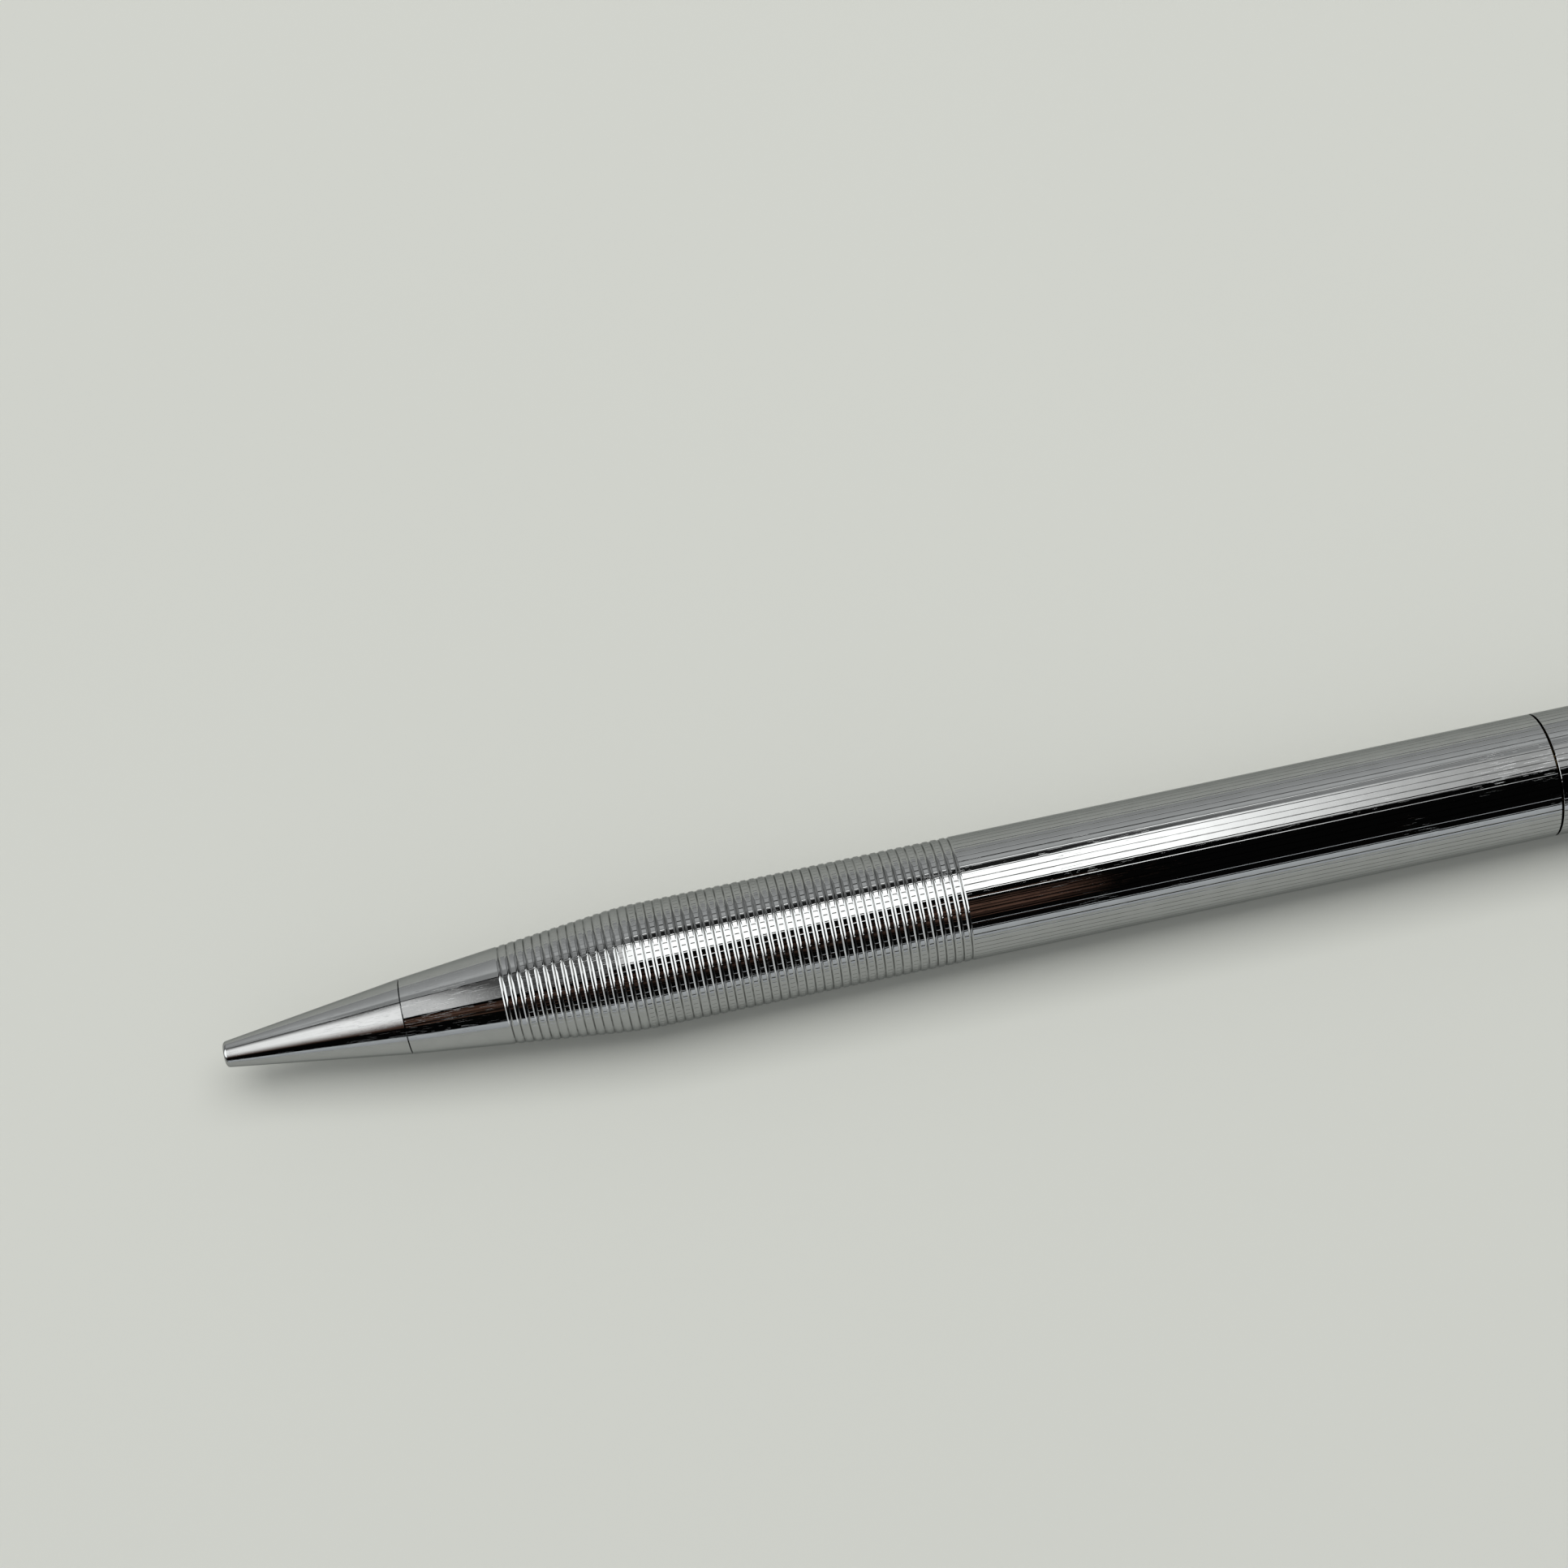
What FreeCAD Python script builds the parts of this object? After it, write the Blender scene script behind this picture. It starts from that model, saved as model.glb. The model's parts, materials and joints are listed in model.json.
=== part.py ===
"""Chromed metal mechanical pencil, 0.7 mm, that twists to bring out its lead pipe and clicks to feed lead.

The pencil lies on its side. Its axis runs along X, with the writing tip towards -X, and it rests on
the plane Z = 0 on its barrel and on the shoulder of its clip. The origin is at the centre of the
foot of the object's box. All sizes are millimetres. Every part is drawn about the X axis, with
"s" the distance back from the tip and "r" the distance from the axis, and placed at the end.
"""

import FreeCAD, Part
import math
import os

V = FreeCAD.Vector

# ---- Driving dimensions -------------------------------------------------------------------------
BARREL_R = 4.0            # outside radius of both barrels
BARREL_BORE_R = 3.4
NOSE_TIP_R = 0.6          # flat end of the nose, before its rounded rim
NOSE_RIM_R = 0.84
NOSE_RIM_LENGTH = 0.24
NOSE_BACK = 11.6          # seam between the nose and the grip
NOSE_BACK_R = 2.43
GRIP_SLOPE = 0.109        # rise of the tapered grip per mm of length
BLEND_START = 24.85       # where the taper starts to round into the straight barrel
GROOVES_START = 17.8
GROOVES_END = 47.6
GROOVE_COUNT = 53
GROOVE_WIDTH = 0.30
GROOVE_DEPTH = 0.055
SEAM = 85.6               # where the upper barrel turns on the lower one
SEAM_GAP = 0.15
SHELL_END = 127.6         # back edge of the upper barrel's shell
COLLAR_END = 132.6
OVERALL = 141.5           # nose tip to button end, with the lead pipe drawn in
EDGE = 0.05               # small chamfer at seams

# ---- Fits ---------------------------------------------------------------------------------------
FIXED_GAP = 0.02          # between parts that are pressed, screwed or glued together
RUNNING_GAP = 0.06        # between parts that turn or slide on each other

# ---- Travels ------------------------------------------------------------------------------------
TWIST_TURN = 180.0        # degrees of twist that bring the lead pipe out
CARTRIDGE_TRAVEL = 5.0
PUSH_TRAVEL = 2.7         # one full click of the button
RING_TRAVEL = 0.9         # how far the chuck ring follows the chuck before its stop

# ---- Mechanism ----------------------------------------------------------------------------------
LEAD_R = 0.35
LEAD_LENGTH = 60.0
LEAD_BORE_R = 0.37
PIPE_R = 0.52
TUBE_R = 1.9              # cartridge tube
TUBE_BORE_R = 1.55
RESERVOIR_R = 1.35
RESERVOIR_BORE_R = 1.04
GUIDE_R = 2.92            # slotted sleeve that is fixed in the lower barrel
GUIDE_BORE_R = 2.42
CAM_BORE_R = GUIDE_R + RUNNING_GAP
SHELL_BORE_R = 3.5
LUG_R = 0.55
LUG_S = 96.0              # the drive lug's place while the lead pipe is drawn in
LUG_CLEARANCE = 0.05
BUTTON_R = 2.4
BUTTON_WALL = 0.2

# ---- Clip ---------------------------------------------------------------------------------------
CLIP_THICKNESS = 0.6
CLIP_SHOULDER_R = 6.5     # outer face of the clip at its highest point
CLIP_HALF_WIDTH = 1.65    # at the shoulder
CLIP_TIP_HALF = 1.1
CLIP_EDGE_R = 0.2         # rounding of the clip's outer edges
CLIP_LEG_S = 127.2        # centre of the leg that stands in the barrel's notch
CLIP_LEG_HALF = 1.0       # the leg is narrower than the shoulder
CLIP_TIP_S = 92.4
CLIP_BEND_R = 1.3         # bend of the shoulder, at the middle of the strip
CLIP_ARM_LENGTH = 27.0
CLIP_ARM_SLOPE = 0.066
CLIP_LIFT_R = 6.0         # bend at the contact, at the middle of the strip
CLIP_LIFT_SLOPE = 0.30


# ---- Drawing helpers ----------------------------------------------------------------------------
def at(s, r):
    """A point in the plane that is turned about the axis."""
    return V(s, 0, r)


def path(points):
    """Edges through (s, r) points. An entry of two points, (via, to), draws an arc."""
    edges = []
    here = points[0]
    for step in points[1:]:
        if isinstance(step[0], tuple):
            via, there = step
            edges.append(Part.Arc(at(*here), at(*via), at(*there)).toShape())
        else:
            there = step
            if there != here:
                edges.append(Part.makeLine(at(*here), at(*there)))
        here = there
    return edges


def turned(points):
    """A solid of revolution about the axis, from its closed outline."""
    outline = Part.Wire(path(points + [points[0]]))
    return Part.Face(outline).revolve(V(0, 0, 0), V(1, 0, 0), 360)


def tube(start, end, inner, outer, chamfer=0.0):
    """A plain tube, with its outer edges chamfered."""
    c = chamfer
    return turned([(start, inner), (start, outer - c), (start + c, outer),
                   (end - c, outer), (end, outer - c), (end, inner)])


def rod(start, end, radius, y=0.0):
    return Part.makeCylinder(radius, end - start, V(start, y, 0), V(1, 0, 0))


def thread_rings(start, end, crest, root, pitch=0.5):
    """Outline points for the ridges of a fine thread, from start to end."""
    points = []
    for k in range(int((end - start) / pitch)):
        s = start + k * pitch
        points += [(s, crest), (s + 0.4 * pitch, crest)]
        points += [(s + 0.6 * pitch, root), (s + 0.9 * pitch, root)]
    return points + [(end, crest)]


def fused(*shapes):
    return shapes[0].multiFuse(list(shapes[1:])).removeSplitter()


# ---- Outside profile of the grip ----------------------------------------------------------------
BLEND_START_R = NOSE_BACK_R + GRIP_SLOPE * (BLEND_START - NOSE_BACK)
GRIP_ANGLE = math.atan(GRIP_SLOPE)
BLEND_R = (BARREL_R - BLEND_START_R) / (1 - math.cos(GRIP_ANGLE))
BLEND_END = BLEND_START + BLEND_R * math.sin(GRIP_ANGLE)


def grip_radius(s):
    """Outside radius of the lower barrel: a cone, a long blend arc, then a cylinder."""
    if s <= BLEND_START:
        return NOSE_BACK_R + GRIP_SLOPE * (s - NOSE_BACK)
    if s >= BLEND_END:
        return BARREL_R
    return BARREL_R - BLEND_R + math.sqrt(BLEND_R ** 2 - (BLEND_END - s) ** 2)


# ---- Lower barrel -------------------------------------------------------------------------------
SPIGOT_END = 16.0
SPIGOT_R = 2.05
SPIGOT_BORE_R = 1.72


def nose_cone():
    """Writing end: a polished cone with a rounded rim, bored for the lead pipe, and a threaded spigot."""
    rim_via = (0.07, NOSE_TIP_R + 0.17)
    return turned(
        [(0, PIPE_R + RUNNING_GAP), (0, NOSE_TIP_R), (rim_via, (NOSE_RIM_LENGTH, NOSE_RIM_R)),
         (NOSE_BACK - 2 * EDGE, NOSE_BACK_R - 0.014), (NOSE_BACK - EDGE, NOSE_BACK_R - EDGE),
         (NOSE_BACK - EDGE, SPIGOT_R - 0.15), (12.2, SPIGOT_R - 0.15)]
        + thread_rings(12.4, SPIGOT_END - 0.4, SPIGOT_R, SPIGOT_R - 0.13)
        + [(SPIGOT_END, SPIGOT_R - 0.1), (SPIGOT_END, SPIGOT_BORE_R), (11.0, SPIGOT_BORE_R),
           (2.4, 0.75), (1.4, PIPE_R + RUNNING_GAP)]
    )


def barrel_shell():
    """Lower barrel: tapered grip with fine turned grooves, then a plain polished tube."""
    pitch = (GROOVES_END - GROOVES_START) / GROOVE_COUNT
    outline = [(NOSE_BACK, NOSE_BACK_R - EDGE), (NOSE_BACK + EDGE, NOSE_BACK_R)]
    for k in range(GROOVE_COUNT):
        middle = GROOVES_START + (k + 0.5) * pitch
        start, end = middle - GROOVE_WIDTH / 2, middle + GROOVE_WIDTH / 2
        outline.append((start, grip_radius(start)))
        outline.append(((middle, grip_radius(middle) - GROOVE_DEPTH), (end, grip_radius(end))))
    outline += [(SEAM - EDGE, BARREL_R), (SEAM, BARREL_R - EDGE), (SEAM, BARREL_BORE_R)]
    bore = [(BLEND_END - 1, BARREL_BORE_R), (SPIGOT_END + 1.6, grip_radius(SPIGOT_END + 1.6) - 0.55),
            (SPIGOT_END + 0.2, SPIGOT_R + FIXED_GAP), (NOSE_BACK, SPIGOT_R + FIXED_GAP)]
    return turned(outline + bore)


def front_guide_bush():
    """Plastic bush that keeps the cartridge central behind the grip."""
    return tube(30.0, 36.0, TUBE_R + RUNNING_GAP, BARREL_BORE_R - FIXED_GAP, 0.2)


GUIDE_START = 74.0
GUIDE_END = 111.0
SHOULDER = 87.9           # the upper barrel's thrust face
SHOULDER_R = 3.2
O_RING_S = 86.7
O_RING_R = 0.27
RETAINER_S = 110.0
RETAINER_DEPTH = 0.2
RETAINER_WIDTH = 0.5


def guide_sleeve():
    """Sleeve pressed in the lower barrel, that the upper barrel turns on. A straight slot guides the lug."""
    groove_r = O_RING_R + 0.12
    floor_r = SHELL_BORE_R - FIXED_GAP / 2 - 2 * O_RING_R
    body = turned(
        [(GUIDE_START, GUIDE_BORE_R), (GUIDE_START, BARREL_BORE_R - 0.2),
         (GUIDE_START + 0.3, BARREL_BORE_R - FIXED_GAP), (SEAM - 0.1, BARREL_BORE_R - FIXED_GAP),
         (SEAM - 0.1, SHOULDER_R), (O_RING_S - groove_r, SHOULDER_R), (O_RING_S - groove_r, floor_r),
         (O_RING_S + groove_r, floor_r), (O_RING_S + groove_r, SHOULDER_R), (SHOULDER, SHOULDER_R),
         (SHOULDER, GUIDE_R), (RETAINER_S, GUIDE_R), (RETAINER_S, GUIDE_R - RETAINER_DEPTH),
         (RETAINER_S + RETAINER_WIDTH, GUIDE_R - RETAINER_DEPTH), (RETAINER_S + RETAINER_WIDTH, GUIDE_R),
         (GUIDE_END - 0.15, GUIDE_R), (GUIDE_END, GUIDE_R - 0.15), (GUIDE_END, GUIDE_BORE_R)]
    )
    half = LUG_R + LUG_CLEARANCE
    ends = [Part.makeCylinder(half, BARREL_R, V(s, 0, 0), V(0, 0, 1))
            for s in (LUG_S - CARTRIDGE_TRAVEL, LUG_S)]
    middle = Part.makeBox(CARTRIDGE_TRAVEL, 2 * half, BARREL_R, V(LUG_S - CARTRIDGE_TRAVEL, -half, 0))
    return body.cut(fused(middle, *ends))


def friction_ring():
    """Rubber O-ring that gives the twist its smooth drag and stops rattle at the seam."""
    ring_r = SHELL_BORE_R - FIXED_GAP / 2 - O_RING_R
    return Part.makeTorus(ring_r, O_RING_R, V(O_RING_S, 0, 0), V(1, 0, 0))


def thrust_washer():
    return tube(SHOULDER + FIXED_GAP, SHOULDER + 0.42, CAM_BORE_R, SHELL_BORE_R - RUNNING_GAP)


def retaining_ring():
    """Open spring ring in the sleeve's end groove, that keeps the upper barrel on."""
    ring = tube(RETAINER_S + FIXED_GAP, RETAINER_S + RETAINER_WIDTH - FIXED_GAP,
                GUIDE_R - RETAINER_DEPTH + FIXED_GAP, 3.38)
    gap = Part.makeBox(2, 1.6, 4, V(RETAINER_S - 1, -0.8, -4))
    return ring.cut(gap)


# ---- Upper barrel -------------------------------------------------------------------------------
CAM_START = SHOULDER + 0.46
CAM_END = RETAINER_S - 0.1
NOTCH_HALF_WIDTH = 1.05   # notch for the clip's leg, open to the shell's back edge
NOTCH_DEPTH = CLIP_THICKNESS + 0.4
BUSHING_START = 120.5


def cam_slot():
    """The helical slot's cutter. The lug goes forward as the sleeve turns clockwise, seen from the button."""
    inner, outer = CAM_BORE_R - 0.4, BARREL_R
    lead = CARTRIDGE_TRAVEL * 360 / TWIST_TURN
    steepest = math.cos(math.atan(lead / (2 * math.pi * CAM_BORE_R)))
    half = (LUG_R + LUG_CLEARANCE) / steepest
    helix = Part.makeHelix(lead, CARTRIDGE_TRAVEL, (inner + outer) / 2, 0, True)
    section = Part.makePolygon([V(inner, 0, -half), V(outer, 0, -half), V(outer, 0, half),
                                V(inner, 0, half), V(inner, 0, -half)])
    band = Part.Wire(helix).makePipeShell([section], True, True)
    band.rotate(V(0, 0, 0), V(1, 1, 1), 120)                  # the helix's own Z becomes X
    band.rotate(V(0, 0, 0), V(1, 0, 0), 90 + TWIST_TURN)      # its back end meets the lug, on +Z
    band.translate(V(LUG_S - CARTRIDGE_TRAVEL, 0, 0))
    ends = [Part.makeCylinder(LUG_R + LUG_CLEARANCE, BARREL_R, V(s, 0, 0), V(0, 0, up))
            for s, up in ((LUG_S, 1), (LUG_S - CARTRIDGE_TRAVEL, -1))]
    return [band] + ends


def cam_sleeve():
    """Sleeve pressed in the upper barrel, whose helical slot drives the lug."""
    sleeve = tube(CAM_START, CAM_END, CAM_BORE_R, SHELL_BORE_R - FIXED_GAP, 0.1)
    for cutter in cam_slot():
        sleeve = sleeve.cut(cutter)
    return sleeve


def upper_shell():
    """Polished tube of the upper barrel, with a notch for the clip's leg."""
    shell = tube(SEAM + SEAM_GAP, SHELL_END, SHELL_BORE_R, BARREL_R, EDGE)
    notch = Part.makeBox(NOTCH_DEPTH + 1, 2 * NOTCH_HALF_WIDTH, 2,
                         V(SHELL_END - NOTCH_DEPTH, -NOTCH_HALF_WIDTH, SHELL_BORE_R - 1))
    return shell.cut(facing_clip(notch))


def top_bushing():
    """Threaded end piece: it traps the clip's leg, guides the button and closes the barrel in a cone."""
    bore = BUTTON_R + RUNNING_GAP
    thread_r = SHELL_BORE_R - FIXED_GAP
    groove = (CLIP_LEG_S - 0.8, SHELL_END + 0.03)
    face = SHELL_END + 0.05
    return turned(
        [(BUSHING_START, bore)]
        + thread_rings(BUSHING_START, groove[0] - 0.3, thread_r, thread_r - 0.15)
        + [(groove[0], thread_r), (groove[0], 2.95), (groove[1], 2.95),
           (groove[1], BARREL_R - EDGE), (face + EDGE, BARREL_R), (face + 0.85, BARREL_R),
           (face + 0.95, BARREL_R - 0.12), (face + 1.1, BARREL_R - 0.12), (face + 1.2, BARREL_R - 0.02),
           (COLLAR_END - 0.5, 3.15), ((COLLAR_END - 0.12, 3.0), (COLLAR_END, 2.72)),
           (COLLAR_END, bore + 0.08), (COLLAR_END - 0.08, bore)]
    )


# ---- Clip ---------------------------------------------------------------------------------------
def support_angle():
    """The clip's angle from straight down, at which its shoulder's rounded corner is as low as the barrel."""
    radial = CLIP_SHOULDER_R - CLIP_EDGE_R
    across = CLIP_HALF_WIDTH - CLIP_EDGE_R
    return math.atan2(across, radial) + math.acos((BARREL_R - CLIP_EDGE_R) / math.hypot(radial, across))


CLIP_ANGLE = support_angle()


def facing_clip(shape):
    """Turns a shape drawn on the barrel's +Z side round to where the clip is, low on the -Y side."""
    shape = shape.copy()
    shape.rotate(V(0, 0, 0), V(1, 0, 0), 180 - math.degrees(CLIP_ANGLE))
    return shape


def clip_face(side):
    """Outline of the clip's outer (side 1) or inner (side -1) face, from its leg to its tip."""
    half = side * CLIP_THICKNESS / 2
    arm, lift = math.atan(CLIP_ARM_SLOPE), math.atan(CLIP_LIFT_SLOPE)
    bend_s = CLIP_LEG_S - CLIP_BEND_R
    bend_z = CLIP_SHOULDER_R - CLIP_THICKNESS / 2 - CLIP_BEND_R

    def on_bend(angle):
        radius = CLIP_BEND_R + half
        return bend_s + radius * math.cos(angle), bend_z + radius * math.sin(angle)

    reach = CLIP_BEND_R + CLIP_LIFT_R
    lift_s = bend_s - reach * math.sin(arm) - CLIP_ARM_LENGTH * math.cos(arm)
    lift_z = bend_z + reach * math.cos(arm) - CLIP_ARM_LENGTH * math.sin(arm)

    def on_lift(angle):
        radius = CLIP_LIFT_R - half
        return lift_s + radius * math.sin(angle), lift_z - radius * math.cos(angle)

    last = on_lift(-lift)
    tip = (last[0] - 6 * math.cos(lift), last[1] + 6 * math.sin(lift))
    return [(CLIP_LEG_S + half, BARREL_R - 0.9), (CLIP_LEG_S + half, bend_z),
            (on_bend(math.pi / 4), on_bend(math.pi / 2 + arm)),
            on_lift(arm), (on_lift(0), last), tip]


def clip_plan(tip_s):
    """The strip's outline seen from outside: parallel at the shoulder, tapered, and round at the tip."""
    wide_from = CLIP_LEG_S - CLIP_BEND_R - 1
    back = CLIP_LEG_S + 1
    half, tip_half = CLIP_HALF_WIDTH, CLIP_TIP_HALF
    round_s = tip_s + tip_half
    corners = [V(round_s, -tip_half, 0), V(wide_from, -half, 0), V(back, -half, 0),
               V(back, half, 0), V(wide_from, half, 0), V(round_s, tip_half, 0)]
    sides = [Part.makeLine(a, b) for a, b in zip(corners, corners[1:])]
    end = Part.Arc(corners[-1], V(tip_s, 0, 0), corners[0]).toShape()
    return Part.Face(Part.Wire(sides + [end]))


def clip():
    """Spring clip: one bent strip with a leg in the barrel, a shoulder, a contact bend and a lifted tip."""
    outer, inner = clip_face(1), clip_face(-1)
    ends = [Part.makeLine(at(*outer[0]), at(*inner[0])), Part.makeLine(at(*outer[-1]), at(*inner[-1]))]
    profile = Part.Face(Part.Wire(Part.__sortEdges__(path(outer) + path(inner) + ends)))
    profile.translate(V(0, -2 * CLIP_HALF_WIDTH, 0))
    strip = profile.extrude(V(0, 4 * CLIP_HALF_WIDTH, 0))
    arm = strip.common(clip_plan(CLIP_TIP_S).extrude(V(0, 0, 2 * CLIP_SHOULDER_R)))
    for side in (-1, 1):
        beside_leg = Part.makeBox(4, 2, 2, V(CLIP_LEG_S - 2, side * (CLIP_LEG_HALF + 1) - 1, BARREL_R - 1.7))
        arm = arm.cut(beside_leg)
    return facing_clip(arm.makeFillet(CLIP_EDGE_R, outer_edges(arm)))


def outer_edges(arm):
    """The edges along both sides of the clip's outer face and round its tip."""
    found = []
    face = Part.Compound(path(clip_face(1))[1:])
    for edge in arm.Edges:
        middle = edge.valueAt((edge.FirstParameter + edge.LastParameter) / 2)
        beside = Part.Vertex(V(middle.x, 0, middle.z)).distToShape(face)[0]
        across = edge.BoundBox.YMax - edge.BoundBox.YMin
        if beside < 0.001 and edge.Length > 0.05 and (across < 1.0 or middle.x < CLIP_TIP_S + CLIP_TIP_HALF):
            found.append(edge)
    return found


# ---- Cartridge, which slides forward as the upper barrel turns -----------------------------------
HOLDER_FRONT = 8.6
RETAINER_FRONT, RETAINER_BACK = 13.0, 15.6
RING_FRONT, RING_BACK = 19.5, 21.5
SPRING_FRONT, SPRING_BACK = 23.42, 31.38
RING_STOP = RING_FRONT - RING_TRAVEL - FIXED_GAP
TUBE_FRONT, TUBE_BACK = 22.0, 99.0
CHAMBER_R = 1.32


def lead_sleeve():
    """Thin steel pipe that supports the lead at the paper."""
    return turned([(0.8, LEAD_BORE_R), (0.8, PIPE_R - 0.06), (0.9, PIPE_R),
                   (12.9, PIPE_R), (12.9, LEAD_BORE_R)])


def sleeve_holder():
    """Brass front of the cartridge. It holds the lead pipe and the retainer, and stops the chuck ring."""
    return turned(
        [(HOLDER_FRONT, PIPE_R + FIXED_GAP / 2), (HOLDER_FRONT, 0.68), (HOLDER_FRONT + 0.1, 0.72),
         (15.0, 1.45), (16.6, 1.62), (TUBE_FRONT - FIXED_GAP, 1.62), (TUBE_FRONT - FIXED_GAP, 1.40),
         (22.3, 1.40)]
        + thread_rings(22.5, 26.5, TUBE_BORE_R - FIXED_GAP, TUBE_BORE_R - 0.1, 0.4)
        + [(27.0, TUBE_BORE_R - 0.1), (27.0, CHAMBER_R), (RING_STOP, CHAMBER_R), (RING_STOP, 1.1),
           (RETAINER_BACK, 1.1), (RETAINER_BACK, 0.95), (RETAINER_FRONT, 0.95),
           (RETAINER_FRONT, PIPE_R + FIXED_GAP / 2)]
    )


def lead_retainer():
    """Rubber plug with a small hole, that keeps the lead from slipping back."""
    return tube(RETAINER_FRONT + FIXED_GAP, RETAINER_BACK - 0.1, LEAD_R + 0.01, 0.95 - FIXED_GAP, 0.1)


def spring_seat():
    """Washer in the holder, that the chuck spring pushes against."""
    return tube(22.6, SPRING_FRONT - FIXED_GAP, 0.8, CHAMBER_R - FIXED_GAP)


def chuck_spring():
    """Return spring round the chuck's stem, of eight-sided wire."""
    wire_r, mean_r, turns = 0.13, 1.08, 9
    length = SPRING_BACK - SPRING_FRONT - 2 * wire_r
    helix = Part.makeHelix(length / turns, length, mean_r)
    corners = [V(mean_r + wire_r * math.cos(k * math.pi / 4), 0, wire_r * math.sin(k * math.pi / 4))
               for k in range(9)]
    coil = Part.Wire(helix).makePipeShell([Part.makePolygon(corners)], True, True)
    coil.rotate(V(0, 0, 0), V(1, 1, 1), 120)                  # the helix's own Z becomes X
    coil.translate(V(SPRING_FRONT + wire_r, 0, 0))
    return coil


def cartridge_tube():
    return tube(TUBE_FRONT, TUBE_BACK, TUBE_BORE_R, TUBE_R, 0.1)


def drive_collar():
    """Ring on the cartridge tube, with a hole for the drive lug."""
    collar = tube(LUG_S - 2, LUG_S + 2, TUBE_R + FIXED_GAP, GUIDE_BORE_R - RUNNING_GAP, 0.15)
    return collar.cut(Part.makeCylinder(LUG_R + FIXED_GAP, 4, V(LUG_S, 0, 0), V(0, 0, 1)))


def drive_lug():
    """Steel pin that passes through the straight slot into the helical one."""
    foot = TUBE_R + FIXED_GAP
    pin = Part.makeCylinder(LUG_R, SHELL_BORE_R - 0.1 - foot, V(LUG_S, 0, foot), V(0, 0, 1))
    return pin


def cartridge_end_cap():
    """Bush at the back of the cartridge tube, that guides the lead reservoir."""
    bore = RESERVOIR_R + RUNNING_GAP
    return turned([(TUBE_BACK - 3, bore), (TUBE_BACK - 3, TUBE_BORE_R - FIXED_GAP),
                   (TUBE_BACK + FIXED_GAP, TUBE_BORE_R - FIXED_GAP), (TUBE_BACK + FIXED_GAP, 2.25),
                   (TUBE_BACK + 1.8, 2.25), (TUBE_BACK + 2, 2.05), (TUBE_BACK + 2, bore)])


# ---- Clutch and reservoir, which the button pushes forward --------------------------------------
CHUCK_FRONT = 18.6
HEAD_R = 1.02
HEAD_TAPER = 0.1
RESERVOIR_FRONT, RESERVOIR_BACK = 32.0, 124.0


def head_radius(s):
    """Radius of the chuck's head, which narrows towards the back, so that the ring closes it."""
    return HEAD_R - HEAD_TAPER * (s - (CHUCK_FRONT + 0.6))


def chuck():
    """Brass collet with three slits. Drawn back into its ring it grips the lead."""
    neck = 21.6
    body = turned(
        [(CHUCK_FRONT, LEAD_BORE_R), (CHUCK_FRONT, HEAD_R - 0.1), (CHUCK_FRONT + 0.1, HEAD_R),
         (CHUCK_FRONT + 0.6, HEAD_R), (neck, head_radius(neck)), (neck + 0.2, 0.7),
         (SPRING_BACK + FIXED_GAP, 0.7), (SPRING_BACK + FIXED_GAP, 1.28), (RESERVOIR_FRONT - FIXED_GAP, 1.28),
         (RESERVOIR_FRONT - FIXED_GAP, RESERVOIR_BORE_R - FIXED_GAP), (36.0, RESERVOIR_BORE_R - FIXED_GAP),
         (36.0, LEAD_BORE_R)]
    )
    slit_width = 0.16
    for k in range(3):
        slit = Part.makeBox(8.4, slit_width, 2, V(CHUCK_FRONT - 1, -slit_width / 2, 0))
        slit.rotate(V(0, 0, 0), V(1, 0, 0), 120 * k + 60)
        body = body.cut(slit)
    return body


def chuck_ring():
    """Loose ring that holds the chuck's jaws shut until it meets its stop."""
    front_bore = head_radius(RING_FRONT) + FIXED_GAP
    back_bore = head_radius(RING_BACK) + FIXED_GAP
    return turned([(RING_FRONT, front_bore), (RING_FRONT, 1.2), (RING_FRONT + 0.08, 1.27),
                   (RING_BACK - 0.08, 1.27), (RING_BACK, 1.2), (RING_BACK, back_bore)])


def lead_reservoir():
    return tube(RESERVOIR_FRONT, RESERVOIR_BACK, RESERVOIR_BORE_R, RESERVOIR_R, 0.05)


FERRULE_START, FERRULE_END = 118.5, 129.5
FERRULE_R = 1.94
ERASER_R = 1.72


def eraser_ferrule():
    """Brass socket on the reservoir's end, that grips the eraser."""
    step = RESERVOIR_BACK + 0.2
    bead = FERRULE_END - 1.2
    socket, neck = ERASER_R + FIXED_GAP, RESERVOIR_R + FIXED_GAP
    return turned([(FERRULE_START, neck), (FERRULE_START, FERRULE_R - 0.1),
                   (FERRULE_START + 0.1, FERRULE_R), (bead, FERRULE_R), (bead + 0.2, FERRULE_R - 0.1),
                   (bead + 0.5, FERRULE_R - 0.1), (bead + 0.7, FERRULE_R), (FERRULE_END, FERRULE_R),
                   (FERRULE_END, socket), (step, socket), (step, neck)])


def eraser():
    start, end = RESERVOIR_BACK + 0.3, 137.4
    return turned([(start, 0), (start, ERASER_R), (end - 0.25, ERASER_R),
                   ((end - 0.07, ERASER_R - 0.07), (end, ERASER_R - 0.25)), (end, 0)])


def spare_leads():
    """Two spare leads, side by side in the reservoir, behind the loaded one."""
    start = 63.9
    return Part.makeCompound([rod(start, start + LEAD_LENGTH, LEAD_R, y) for y in (-0.5, 0.5)])


def loaded_lead():
    return rod(1.0, 1.0 + LEAD_LENGTH, LEAD_R)


# ---- Button -------------------------------------------------------------------------------------
BUTTON_START = 121.5
BUTTON_FLAT_R = 1.5


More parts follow.
